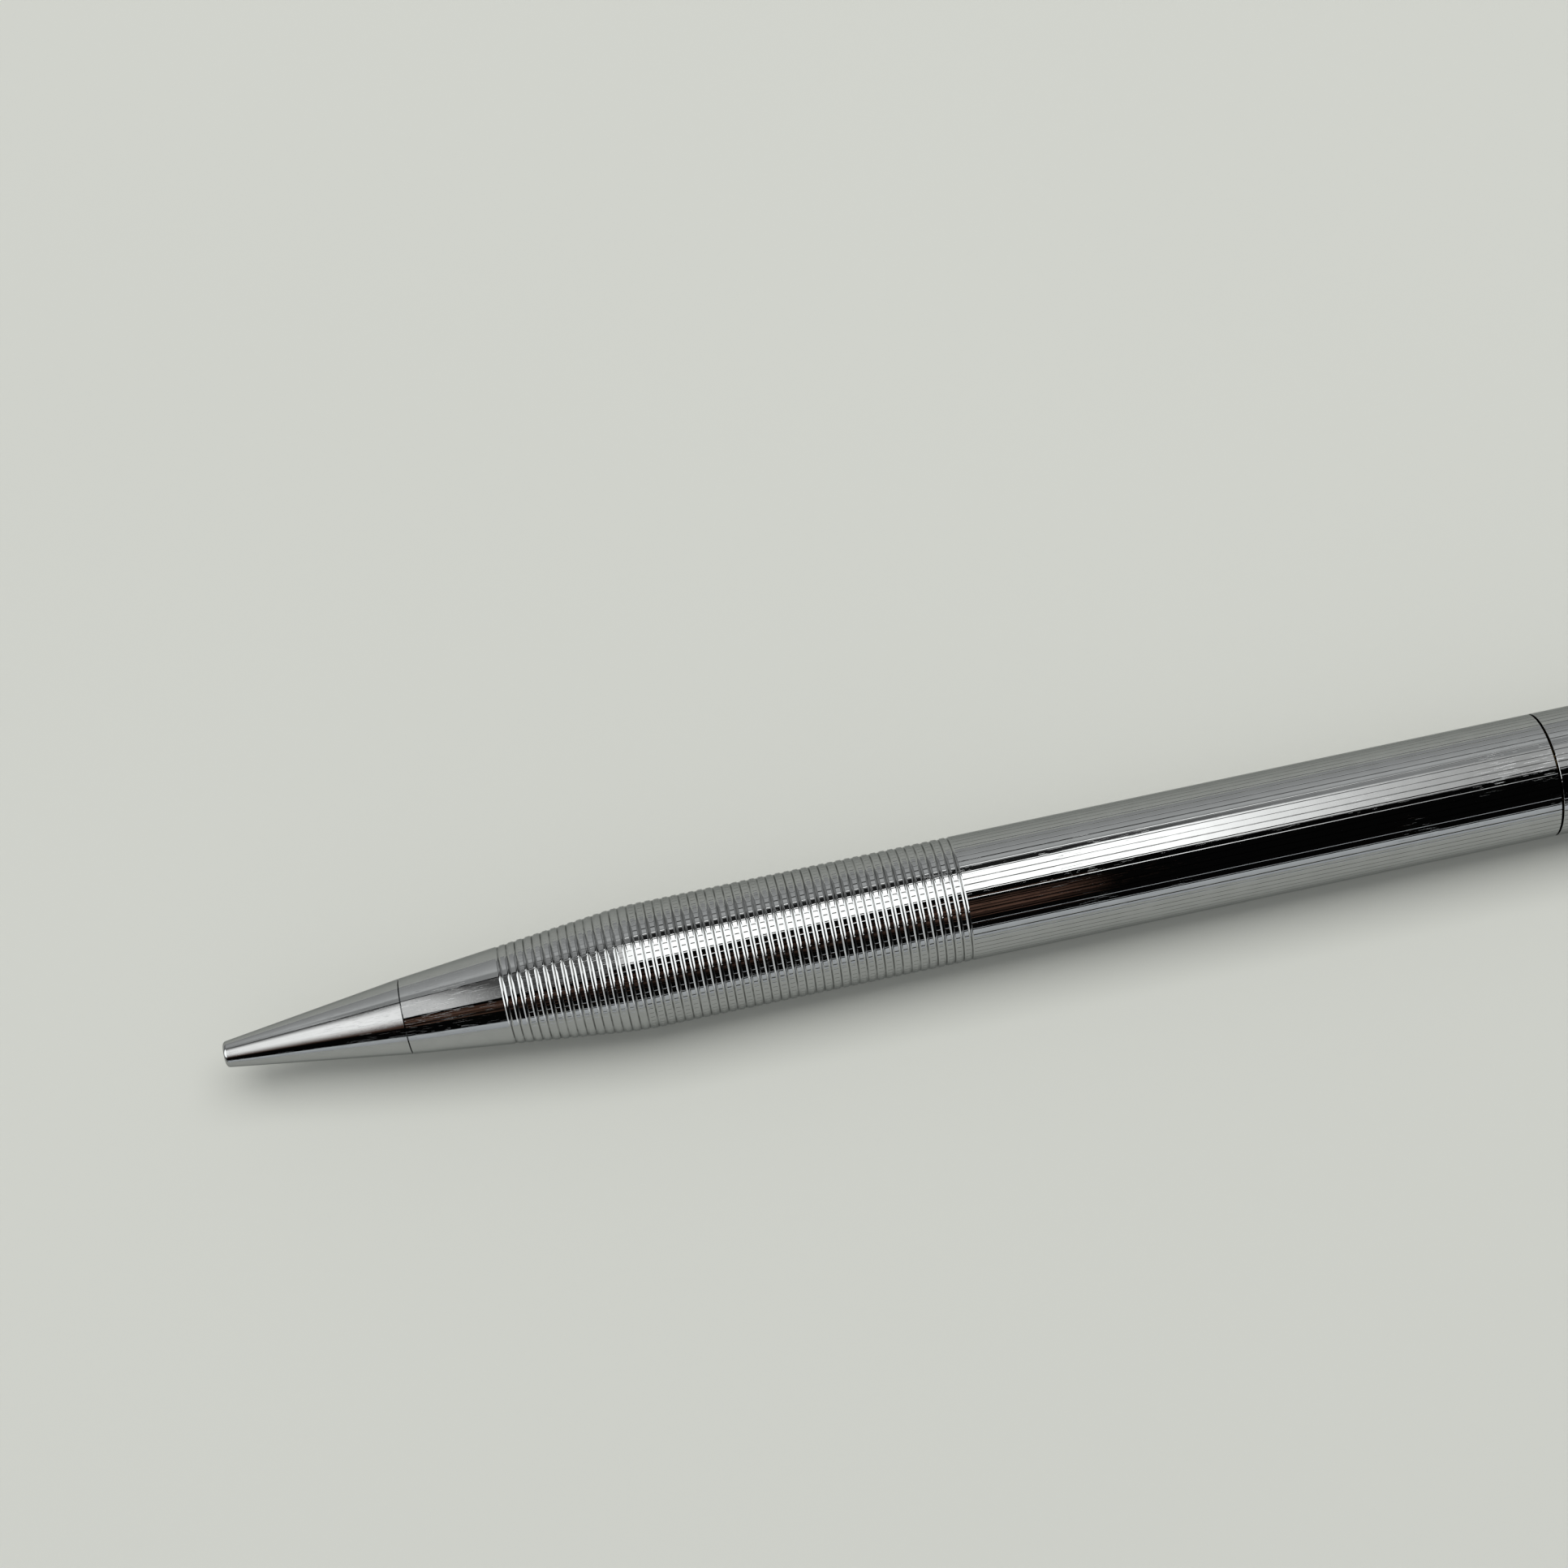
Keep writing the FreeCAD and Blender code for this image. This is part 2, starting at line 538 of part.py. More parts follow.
def button_cap():
    """Polished cap over the eraser, pushed to feed lead and pulled off to reach the eraser."""
    inner = BUTTON_R - BUTTON_WALL
    outline = [(BUTTON_START, inner), (BUTTON_START, BUTTON_R - 0.08), (BUTTON_START + 0.08, BUTTON_R)]
    for s in (137.2, 138.2):
        outline += [(s, BUTTON_R), ((s + 0.16, BUTTON_R - 0.1), (s + 0.32, BUTTON_R))]
    outline += [(140.5, BUTTON_R), ((OVERALL - 0.26, 2.08), (OVERALL, BUTTON_FLAT_R)), (OVERALL, 0),
                (140.5, 0), (140.5, inner - 0.3), (140.2, inner)]
    return turned(outline)


def button_insert():
    """Plastic sleeve inside the cap, that grips the eraser's ferrule."""
    return tube(122.6, 128.4, FERRULE_R + 0.03, BUTTON_R - BUTTON_WALL - FIXED_GAP)


# ---- Placing and export -------------------------------------------------------------------------
PARTS = [nose_cone, barrel_shell, front_guide_bush, guide_sleeve, friction_ring, thrust_washer,
         retaining_ring, cam_sleeve, upper_shell, top_bushing, clip, lead_sleeve, sleeve_holder,
         lead_retainer, spring_seat, chuck_spring, cartridge_tube, drive_collar, drive_lug,
         cartridge_end_cap, chuck, chuck_ring, lead_reservoir, eraser_ferrule, eraser, spare_leads,
         loaded_lead, button_cap, button_insert]

CLIP_REACH = ((CLIP_SHOULDER_R - CLIP_EDGE_R) * math.sin(CLIP_ANGLE)
              + (CLIP_HALF_WIDTH - CLIP_EDGE_R) * math.cos(CLIP_ANGLE) + CLIP_EDGE_R)
TIP_PLACE = V(-OVERALL / 2, (CLIP_REACH - BARREL_R) / 2, BARREL_R)

os.makedirs("parts", exist_ok=True)
for make in PARTS:
    solid = make()
    solid.translate(TIP_PLACE)
    solid.exportStep(f"parts/{make.__name__}.step")
    box = solid.BoundBox
    print(f"{make.__name__:18s} valid {solid.isValid()} solids {len(solid.Solids)}",
          f"volume {solid.Volume:9.3f}",
          f"x {box.XMin:8.2f} {box.XMax:8.2f} y {box.YMin:6.2f} {box.YMax:6.2f}",
          f"z {box.ZMin:6.2f} {box.ZMax:6.2f}")
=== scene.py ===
"""Chromed mechanical pencil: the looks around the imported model. Sizes here are millimetres unless said."""
import bmesh
import bpy
import json
import math
import numpy as np
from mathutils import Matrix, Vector


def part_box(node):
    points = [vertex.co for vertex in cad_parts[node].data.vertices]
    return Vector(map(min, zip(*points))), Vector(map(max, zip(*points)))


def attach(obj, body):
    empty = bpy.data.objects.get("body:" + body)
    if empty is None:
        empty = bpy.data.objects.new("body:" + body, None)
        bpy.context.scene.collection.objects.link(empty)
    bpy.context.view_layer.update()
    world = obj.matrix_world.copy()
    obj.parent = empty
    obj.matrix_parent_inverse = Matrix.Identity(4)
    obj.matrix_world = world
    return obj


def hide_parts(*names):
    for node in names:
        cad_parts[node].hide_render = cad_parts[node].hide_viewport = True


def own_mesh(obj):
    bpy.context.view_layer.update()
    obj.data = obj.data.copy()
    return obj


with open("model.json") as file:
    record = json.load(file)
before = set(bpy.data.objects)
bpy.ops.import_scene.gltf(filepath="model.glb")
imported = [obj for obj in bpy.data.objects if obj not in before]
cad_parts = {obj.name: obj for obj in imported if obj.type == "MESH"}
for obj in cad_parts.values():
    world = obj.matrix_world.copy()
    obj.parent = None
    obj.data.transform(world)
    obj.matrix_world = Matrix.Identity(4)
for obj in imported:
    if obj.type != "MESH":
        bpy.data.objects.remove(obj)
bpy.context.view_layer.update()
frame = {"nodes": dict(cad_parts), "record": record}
NODES = frame["nodes"]

# ---- The object's main sizes, as in the CAD -----------------------------------------------------
OVERALL = 141.5
BARREL_R = 4.0
BORE_R = 3.4
NOSE_BACK = 11.6
NOSE_BACK_R = 2.43
GRIP_SLOPE = 0.109
BLEND_START = 24.85
GROOVES_START, GROOVES_END, GROOVE_COUNT = 17.8, 47.6, 53
GROOVE_WIDTH, GROOVE_DEPTH = 0.30, 0.055
SEAM, SEAM_GAP = 85.6, 0.15
SEAM_EASE = 0.018         # the seam's edges are barely broken
SHELL_END, SHELL_BORE_R = 127.6, 3.5
COLLAR_END = 132.6
LINE_COUNT = 61           # fine engraved lines along the barrel
LINE_HALF = 0.05          # half the width of a line
LINE_DEPTH = 0.007
LINES_FROM = 19.3         # the lines begin on the third ring
LOWER_PHASE, UPPER_PHASE = -5.3, -7.4     # degrees from the top, towards +Y
SHARP_TURN = 30.0         # an outline that turns more than this has a sharp edge there, in degrees

low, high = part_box("barrel_shell")
AXIS_Y = (low.y + high.y) / 2 * 1000
AXIS_Z = (low.z + high.z) / 2 * 1000
TIP_X = -OVERALL / 2


# ---- Mesh helpers -------------------------------------------------------------------------------
def new_piece(name, verts, faces, sharp_pairs=None, body=None, stands_for=None, slot=None, material=None):
    """A mesh object from points in the object's own frame (s along, y and z about the axis), in mm."""
    pts = np.asarray(verts, float)
    pts = np.column_stack([pts[:, 0] + TIP_X, pts[:, 1] + AXIS_Y, pts[:, 2] + AXIS_Z]) / 1000
    mesh = bpy.data.meshes.new(name)
    mesh.from_pydata(pts.tolist(), [], faces)
    mesh.update()
    if signed_volume(mesh) < 0:
        mesh.flip_normals()
    mesh.polygons.foreach_set("use_smooth", [True] * len(mesh.polygons))
    if sharp_pairs is not None:
        flags = mark_sharp(mesh, sharp_pairs)
        layer = mesh.attributes.new("sharp_edge", "BOOLEAN", "EDGE")
        layer.data.foreach_set("value", flags)
    obj = bpy.data.objects.new(name, mesh)
    bpy.context.scene.collection.objects.link(obj)
    if material is not None:
        mesh.materials.append(material)
    if body:
        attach(obj, body)
    if stands_for:
        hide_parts(stands_for)
    return obj


def signed_volume(mesh):
    mesh.calc_loop_triangles()
    co = np.empty(len(mesh.vertices) * 3)
    mesh.vertices.foreach_get("co", co)
    co = co.reshape(-1, 3)
    tri = np.empty(len(mesh.loop_triangles) * 3, int)
    mesh.loop_triangles.foreach_get("vertices", tri)
    a, b, c = (co[tri.reshape(-1, 3)[:, k]] for k in range(3))
    return float(np.einsum("ij,ij->i", a, np.cross(b, c)).sum())


def mark_sharp(mesh, test):
    """Flags for the mesh's edges, from a test on arrays of their two vertices."""
    ends = np.empty(len(mesh.edges) * 2, int)
    mesh.edges.foreach_get("vertices", ends)
    ends = ends.reshape(-1, 2)
    return test(ends[:, 0], ends[:, 1])


def arc(centre, radius, start, end, steps):
    """Points on an arc in the (s, r) plane, angles in degrees from +s towards +r."""
    return [(centre[0] + radius * math.cos(math.radians(a)), centre[1] + radius * math.sin(math.radians(a)))
            for a in np.linspace(start, end, steps + 1)]


def turn_at(a, b, c):
    """How far an outline turns at b, in degrees."""
    first = math.atan2(b[1] - a[1], b[0] - a[0])
    second = math.atan2(c[1] - b[1], c[0] - b[0])
    return abs(math.degrees((second - first + math.pi) % (2 * math.pi) - math.pi))


def turns_of(outline):
    """How far a closed outline turns at each of its points, in degrees."""
    count = len(outline)
    return [turn_at(outline[k - 1], outline[k], outline[(k + 1) % count]) for k in range(count)]


def supported(outline, inset=0.015):
    """Adds points close to the smooth ends of long runs, so that smooth shading stays flat along them."""
    made = []
    count = len(outline)
    smooth = [turn <= SHARP_TURN for turn in turns_of(outline)]
    for k in range(count):
        after = (k + 1) % count
        a, b = Vector(outline[k]), Vector(outline[after])
        made.append(tuple(a))
        if (b - a).length > 8 * inset and not (a.y < 1e-6 and b.y < 1e-6):
            step = (b - a).normalized() * inset
            made += [tuple(a + step)] * smooth[k] + [tuple(b - step)] * smooth[after]
    return made


def plain_columns(count):
    return [2 * math.pi * k / count for k in range(count)], [0.0] * count


def lined_columns(phase):
    """Angles for a barrel with engraved lines, and how deep each column is cut."""
    half = LINE_HALF / BARREL_R
    pitch = 2 * math.pi / LINE_COUNT
    angles, depths = [], []
    for k in range(LINE_COUNT):
        middle = math.radians(phase) + k * pitch
        for share in (-1.0, -0.5, 0.0, 0.5, 1.0):
            angles.append(middle + share * half)
            depths.append(LINE_DEPTH * (1 - abs(share)))
        for share in (0.25, 0.5, 0.75):
            angles.append(middle + half + share * (pitch - 2 * half))
            depths.append(0.0)
    return angles, depths


def beside_a_cut(depths, k):
    """Whether column k is the edge of an engraved line."""
    return depths[k] == 0 and (depths[k - 1] > 0 or depths[(k + 1) % len(depths)] > 0)


def clear_of_cuts(depths, k):
    """Whether column k and both its neighbours are uncut."""
    return depths[k] == 0 and depths[k - 1] == 0 and depths[(k + 1) % len(depths)] == 0


def lathe(outline, columns, lined=None):
    """A turned solid from its closed (s, r) outline: its points, faces, test for sharp edges and point
    numbers by outline point and column. lined(s, r) says where the columns' cuts apply."""
    angles, depths = columns
    n = len(angles)
    sin, cos, cut = np.sin(angles), np.cos(angles), np.array(depths)
    verts, index, ring_of, col_of = [], [], [], []
    for i, (s, r) in enumerate(outline):
        if r < 1e-6:
            index.append(np.full(n, len(verts)))
            verts.append((s, 0.0, 0.0))
            ring_of.append(i)
            col_of.append(-1)
            continue
        radius = r - cut * (1.0 if lined and lined(s, r) else 0.0)
        index.append(np.arange(len(verts), len(verts) + n))
        verts += list(zip([s] * n, radius * sin, radius * cos))
        ring_of += [i] * n
        col_of += list(range(n))
    faces = []
    rings = len(outline)
    for i in range(rings):
        one, two = index[i], index[(i + 1) % rings]
        poles = outline[i][1] < 1e-6, outline[(i + 1) % rings][1] < 1e-6
        if all(poles):
            continue
        for j in range(n):
            k = (j + 1) % n
            face = [int(one[j]), int(one[k]), int(two[k]), int(two[j])]
            if poles[0]:
                face = face[1:] if face[0] == face[1] else face
            if poles[1]:
                face = [face[0], face[1], face[2]]
            faces.append(face)
    ring_sharp = np.array([turn > SHARP_TURN for turn in turns_of(outline)])
    has_lines = np.array([bool(lined and lined(s, r)) for s, r in outline])
    line_edges = np.array([k for k in range(n) if beside_a_cut(depths, k)], int)
    ring_of, col_of = np.array(ring_of), np.array(col_of)

    def sharp(a, b):
        same_ring = ring_of[a] == ring_of[b]
        along_line = (~same_ring) & (col_of[a] == col_of[b]) & np.isin(col_of[a], line_edges)
        on_lines = has_lines[ring_of[a]] & has_lines[ring_of[b]]
        return (same_ring & ring_sharp[ring_of[a]]) | (along_line & on_lines)

    return verts, faces, sharp, index


def turned(name, outline, columns, lined=None, **piece):
    """A turned piece, from its outline. The rest of the arguments are new_piece's."""
    verts, faces, sharp, _ = lathe(outline, columns, lined)
    return new_piece(name, verts, faces, sharp, **piece)


# ---- Node helpers -------------------------------------------------------------------------------
class Net:
    """Short ways to add nodes to a tree."""

    def __init__(self, tree):
        self.tree = tree
        tree.nodes.clear()

    def add(self, kind, inputs=(), **props):
        node = self.tree.nodes.new(kind)
        for key, value in props.items():
            setattr(node, key, value)
        for key, value in dict(inputs).items():
            self.put(node.inputs[key], value)
        return node

    def put(self, socket, value):
        if isinstance(value, bpy.types.NodeSocket):
            self.tree.links.new(value, socket)
        elif isinstance(value, bpy.types.Node):
            self.tree.links.new(value.outputs[0], socket)
        else:
            socket.default_value = value

    def math(self, operation, a, b=0.0, c=0.0):
        return self.add("ShaderNodeMath", {0: a, 1: b, 2: c}, operation=operation).outputs[0]

    def smooth(self, value, start, end, low=0.0, high=1.0):
        ends = {"Value": value, "From Min": start, "From Max": end, "To Min": low, "To Max": high}
        return self.add("ShaderNodeMapRange", ends, interpolation_type="SMOOTHSTEP").outputs[0]

    def mix(self, factor, a, b):
        node = self.add("ShaderNodeMix", data_type="RGBA")
        self.put(node.inputs["Factor"], factor)
        self.put(node.inputs["A"], a)
        self.put(node.inputs["B"], b)
        return node.outputs["Result"]

    def ramp(self, value, stops):
        node = self.add("ShaderNodeValToRGB", {"Fac": value})
        elements = node.color_ramp.elements
        while len(elements) < len(stops):
            elements.new(0.5)
        for element, (place, colour) in zip(elements, stops):
            element.position = place
            element.color = (*colour, 1.0)
        return node.outputs["Color"]

    def noise(self, vector, scale, detail=2.0, roughness=0.5):
        values = {"Vector": vector, "Scale": scale, "Detail": detail, "Roughness": roughness}
        return self.add("ShaderNodeTexNoise", values).outputs["Fac"]

    def stretched(self, vector, scale):
        """Noise drawn out along one direction, as turning and drawing marks are."""
        place = self.add("ShaderNodeMapping", {"Vector": vector, "Scale": scale}).outputs[0]
        return self.noise(place, 1.0, 3.0, 0.6)

    def scaled(self, colour, factor):
        return self.add("ShaderNodeVectorMath", {0: colour, "Scale": factor}, operation="SCALE").outputs[0]

    def bumped(self, shader, height, distance):
        """Gives the shader a bump, with the height's unit in metres."""
        bump = self.add("ShaderNodeBump", {"Strength": 1.0, "Distance": distance, "Height": height})
        self.put(shader.inputs["Normal"], bump.outputs["Normal"])


CHROME_GREY = (0.385, 0.392, 0.393)
CHROME_EDGE = (0.55, 0.56, 0.56)


def new_material(name):
    material = bpy.data.materials.new(name)
    material.use_nodes = True
    net = Net(material.node_tree)
    shader = net.add("ShaderNodeBsdfPrincipled")
    out = net.add("ShaderNodeOutputMaterial")
    net.put(out.inputs["Surface"], shader.outputs[0])
    return material, net, shader


def surface_mm(net):
    """Place on a turned surface as (along, round, radius) in mm."""
    where = net.add("ShaderNodeTexCoord").outputs["Object"]
    parts = net.add("ShaderNodeSeparateXYZ", {0: where})
    y = net.math("SUBTRACT", parts.outputs["Y"], AXIS_Y / 1000)
    z = net.math("SUBTRACT", parts.outputs["Z"], AXIS_Z / 1000)
    angle = net.math("ARCTAN2", y, z)
    radius = net.math("SQRT", net.math("ADD", net.math("MULTIPLY", y, y), net.math("MULTIPLY", z, z)))
    along = net.math("MULTIPLY", parts.outputs["X"], 1000.0)
    around = net.math("MULTIPLY", angle, BARREL_R)
    depth = net.math("MULTIPLY", radius, 1000.0)
    return net.add("ShaderNodeCombineXYZ", {0: along, 1: around, 2: depth}).outputs[0]


def scratch_layer(net, where, angle, length, width, density, seed):
    """Short straight scratches in one direction, white on black."""
    turned_place = net.add("ShaderNodeMapping", {"Vector": where, "Location": (seed * 3.7, seed * 5.3, 0),
                                                 "Rotation": (0, 0, math.radians(angle)),
                                                 "Scale": (1 / length, 1 / width, 0.0)}).outputs[0]
    field = net.noise(turned_place, 1.0, 1.0, 0.4)
    return net.smooth(field, 1 - density, 1 - density + 0.035)


def dark_line_bottoms(net, where, phase):
    """Darker base colour along the bottoms of the engraved lines of the plain barrel, in patches."""
    parts = net.add("ShaderNodeSeparateXYZ", {0: where})
    angle = net.math("MULTIPLY_ADD", parts.outputs["Y"], 1 / BARREL_R, -math.radians(phase))
    wave = net.math("COSINE", net.math("MULTIPLY", angle, float(LINE_COUNT)))
    core = net.smooth(wave, 0.955, 0.985)
    on_barrel = net.smooth(parts.outputs["Z"], BARREL_R - 0.016, BARREL_R - 0.010)
    patchy = net.smooth(net.noise(where, 0.45, 3.0, 0.6), 0.30, 0.52, 0.55, 1.0)
    return net.math("MULTIPLY", net.math("MULTIPLY", core, on_barrel), patchy)


def dark_groove_bottoms(net, where):
    """Darker base colour along the bottoms of the turned grooves, in patches."""
    parts = net.add("ShaderNodeSeparateXYZ", {0: where})
    pitch = (GROOVES_END - GROOVES_START) / GROOVE_COUNT
    along = net.math("SUBTRACT", parts.outputs["X"], GROOVES_START + TIP_X)
    share = net.math("FRACT", net.math("MULTIPLY", along, 1 / pitch))
    off = net.math("MULTIPLY", net.math("ABSOLUTE", net.math("SUBTRACT", share, 0.5)), pitch)
    ringed = net.math("MULTIPLY", net.math("GREATER_THAN", along, 0.0),
                      net.math("LESS_THAN", along, GROOVES_END - GROOVES_START))
    patchy = net.smooth(net.noise(where, 0.6, 3.0, 0.6), 0.30, 0.60, 0.45, 0.95)
    return net.math("MULTIPLY", net.math("MULTIPLY", net.smooth(off, 0.065, 0.03), ringed), patchy)


def chrome(name, wear=1.0, rough=0.02, line_phase=None, grooved=False):
    """Polished chrome with fine scratches, a faint haze of finger marks and shallow polishing waves."""
    material, net, shader = new_material(name)
    where = surface_mm(net)
    scratches = None
    for seed, (angle, length, width, density) in enumerate(
            [(4, 2.6, 0.05, 0.315), (-7, 1.8, 0.045, 0.31), (38, 1.3, 0.05, 0.275), (-52, 1.0, 0.05, 0.27),
             (83, 1.2, 0.045, 0.275)]):
        layer = scratch_layer(net, where, angle, length, width, density, seed + 1)
        scratches = layer if scratches is None else net.math("MAXIMUM", scratches, layer)
    patches = net.smooth(net.noise(where, 0.16, 2.0, 0.5), 0.48, 0.66)
    worn = net.math("MULTIPLY", scratches, net.math("MULTIPLY_ADD", patches, 0.85, 0.15))
    haze = net.noise(where, 0.9, 3.0, 0.6)
    grain = net.noise(where, 7.0, 3.0, 0.6)
    tone = net.mix(net.smooth(haze, 0.3, 0.75), (*CHROME_GREY, 1), (*(c * 0.95 for c in CHROME_GREY), 1))
    if line_phase is not None:
        # near-black base colour mixed in along the bottoms of the engraved lines
        tone = net.mix(dark_line_bottoms(net, where, line_phase), tone, (0.03, 0.03, 0.028, 1))
    if grooved:
        # dark base colour mixed in along the bottoms of the turned grooves
        tone = net.mix(dark_groove_bottoms(net, where), tone, (0.09, 0.092, 0.088, 1))
    net.put(shader.inputs["Base Color"], tone)
    shader.inputs["Metallic"].default_value = 1.0
    shader.inputs["Specular Tint"].default_value = (*CHROME_EDGE, 1)
    roughness = net.math("MULTIPLY_ADD", haze, 0.02 * wear, rough - 0.009)
    roughness = net.math("MULTIPLY_ADD", worn, 0.2 * wear, roughness)
    net.put(shader.inputs["Roughness"], roughness)
    height = net.math("MULTIPLY_ADD", worn, -0.6 * wear, net.math("MULTIPLY", grain, 0.16))
    net.bumped(shader, height, 0.0000016)
    return material


def brass(name, colour, rough=0.22):
    """Turned brass with turning marks and patches of tarnish."""
    material, net, shader = new_material(name)
    where = surface_mm(net)
    turning = net.stretched(where, (14.0, 0.15, 0.15))
    tarnish = net.smooth(net.noise(where, 0.7, 4.0, 0.6), 0.42, 0.7)
    dark = tuple(c * 0.72 for c in colour)
    net.put(shader.inputs["Base Color"], net.mix(tarnish, (*colour, 1), (*dark, 1)))
    shader.inputs["Metallic"].default_value = 1.0
    roughness = net.math("MULTIPLY_ADD", turning, 0.1, rough - 0.05)
    net.put(shader.inputs["Roughness"], net.math("MULTIPLY_ADD", tarnish, 0.16, roughness))
    net.bumped(shader, turning, 0.000004)
    return material


def steel(name, colour=(0.46, 0.47, 0.48), rough=0.2):
    """Drawn steel, streaked along its length."""
    material, net, shader = new_material(name)
    where = surface_mm(net)
    drawn = net.stretched(where, (0.3, 16.0, 16.0))
    spots = net.smooth(net.noise(where, 2.2, 3.0, 0.5), 0.5, 0.75)
    shade = tuple(c * 0.8 for c in colour)
    net.put(shader.inputs["Base Color"], net.mix(spots, (*colour, 1), (*shade, 1)))
    shader.inputs["Metallic"].default_value = 1.0
    net.put(shader.inputs["Roughness"], net.math("MULTIPLY_ADD", drawn, 0.16, rough - 0.08))
    net.bumped(shader, drawn, 0.000003)
    return material


def plastic(name, colour, rough=0.38, see_through=0.0):
    """Moulded plastic with a faint cloudiness and a fine skin."""
    material, net, shader = new_material(name)
    where = surface_mm(net)
    cloud = net.noise(where, 0.8, 3.0, 0.5)
    fine = net.noise(where, 9.0, 2.0, 0.6)
    shade = tuple(c * 0.86 for c in colour)
    net.put(shader.inputs["Base Color"], net.mix(cloud, (*colour, 1), (*shade, 1)))
    net.put(shader.inputs["Roughness"], net.math("MULTIPLY_ADD", fine, 0.16, rough - 0.08))
    shader.inputs["Transmission Weight"].default_value = see_through
    net.bumped(shader, fine, 0.000006)
    return material


def rubber(name, colour, rough=0.75):
    """Matt rubber with a fine grain."""
    material, net, shader = new_material(name)
    where = surface_mm(net)
    grain = net.noise(where, 14.0, 4.0, 0.65)
    cloud = net.noise(where, 1.1, 3.0, 0.55)
    shade = tuple(c * 0.85 for c in colour)
    blotches = net.math("MULTIPLY_ADD", grain, 0.5, net.math("MULTIPLY", cloud, 0.5))
    net.put(shader.inputs["Base Color"], net.mix(blotches, (*colour, 1), (*shade, 1)))
    net.put(shader.inputs["Roughness"], net.math("MULTIPLY_ADD", grain, 0.2, rough - 0.1))
    net.bumped(shader, grain, 0.00002)
    return material


def graphite(name):
    """Pencil lead, streaked along its length."""
    material, net, shader = new_material(name)
    where = surface_mm(net)
    drawn = net.stretched(where, (1.5, 26.0, 26.0))
    net.put(shader.inputs["Base Color"], net.mix(drawn, (0.045, 0.045, 0.05, 1), (0.10, 0.10, 0.11, 1)))
    shader.inputs["Metallic"].default_value = 0.35
    net.put(shader.inputs["Roughness"], net.math("MULTIPLY_ADD", drawn, 0.2, 0.3))
    net.bumped(shader, drawn, 0.000006)
    return material


MATERIALS = {
    "chrome_nose": chrome("chrome_nose", 0.9),
    "chrome_barrel": chrome("chrome_barrel", 1.0, line_phase=LOWER_PHASE, grooved=True),
    "chrome_upper": chrome("chrome_upper", 1.1, line_phase=UPPER_PHASE),
    "chrome_collar": chrome("chrome_collar", 0.8),
    "chrome_button": chrome("chrome_button", 1.2),
    "chrome_clip": chrome("chrome_clip", 1.3, 0.035),
    "guide_brass": brass("guide_brass", (0.72, 0.50, 0.22)),
    "clutch_brass": brass("clutch_brass", (0.76, 0.54, 0.25), 0.18),
    "ferrule_brass": brass("ferrule_brass", (0.74, 0.53, 0.26), 0.2),
    "spring_steel": steel("spring_steel"),
    "pipe_steel": steel("pipe_steel", (0.52, 0.53, 0.54), 0.14),
    "guide_plastic": plastic("guide_plastic", (0.72, 0.71, 0.66)),
    "tube_plastic": plastic("tube_plastic", (0.16, 0.17, 0.18)),
    "reservoir_plastic": plastic("reservoir_plastic", (0.62, 0.65, 0.68), 0.3, 0.3),
    "seal_rubber": rubber("seal_rubber", (0.035, 0.035, 0.038)),
    "eraser_rubber": rubber("eraser_rubber", (0.78, 0.76, 0.72)),
    "graphite": graphite("graphite"),
}


# ---- Outside pieces -----------------------------------------------------------------------------
BLEND_START_R = NOSE_BACK_R + GRIP_SLOPE * (BLEND_START - NOSE_BACK)
GRIP_ANGLE = math.atan(GRIP_SLOPE)
BLEND_R = (BARREL_R - BLEND_START_R) / (1 - math.cos(GRIP_ANGLE))
BLEND_END = BLEND_START + BLEND_R * math.sin(GRIP_ANGLE)


def grip_radius(s):
    if s <= BLEND_START:
        return NOSE_BACK_R + GRIP_SLOPE * (s - NOSE_BACK)
    if s >= BLEND_END:
        return BARREL_R
    return BARREL_R - BLEND_R + math.sqrt(BLEND_R ** 2 - (BLEND_END - s) ** 2)


def nose_cone():
    """The polished cone with its rounded rim, and the spigot that screws into the barrel."""
    rim = arc((0.24, 0.6), 0.24, 180, 97.8, 7)
    outline = [(1.4, 0.58), (0.03, 0.58), (0.0, 0.61)] + rim
    outline += [(11.53, 2.42), (11.55, 2.40), (11.55, 1.90), (16.0, 1.90), (16.0, 1.72),
                (11.0, 1.72), (2.4, 0.75)]
    return turned("nose_cone_polished", supported(outline), plain_columns(192), body="barrel",
                  stands_for="nose_cone", slot="chrome_barrel", material=MATERIALS["chrome_nose"])


def lower_barrel():
    """The tapered grip, the ringed part and the plain tube, all one turned piece."""
    outline = [(NOSE_BACK, 2.40), (NOSE_BACK + 0.02, grip_radius(NOSE_BACK + 0.02))]
    pitch = (GROOVES_END - GROOVES_START) / GROOVE_COUNT
    sag_r = ((GROOVE_WIDTH / 2) ** 2 + GROOVE_DEPTH ** 2) / (2 * GROOVE_DEPTH)
    for k in range(GROOVE_COUNT):
        middle = GROOVES_START + (k + 0.5) * pitch
        for share in np.linspace(-1, 1, 7):
            s = middle + share * GROOVE_WIDTH / 2
            sag = math.sqrt(sag_r ** 2 - (s - middle) ** 2) - (sag_r - GROOVE_DEPTH)
            outline.append((s, grip_radius(s) - sag))
    outline += [(SEAM - SEAM_EASE, BARREL_R), (SEAM, BARREL_R - SEAM_EASE), (SEAM, BORE_R)]
    outline += [(BLEND_END - 1, BORE_R), (17.6, grip_radius(17.6) - 0.55), (16.2, 2.07), (NOSE_BACK, 2.07)]

    def lined(s, r):
        on_surface = abs(r - grip_radius(s)) < 0.004
        return LINES_FROM < s < SEAM - SEAM_EASE / 2 and on_surface
    return turned("lower_barrel", supported(outline), lined_columns(LOWER_PHASE), lined, body="barrel",
                  stands_for="barrel_shell", slot="chrome_barrel", material=MATERIALS["chrome_barrel"])


CLIP_TURN = math.radians(180 - 66.9599)
CLIP_AZIMUTH = -CLIP_TURN


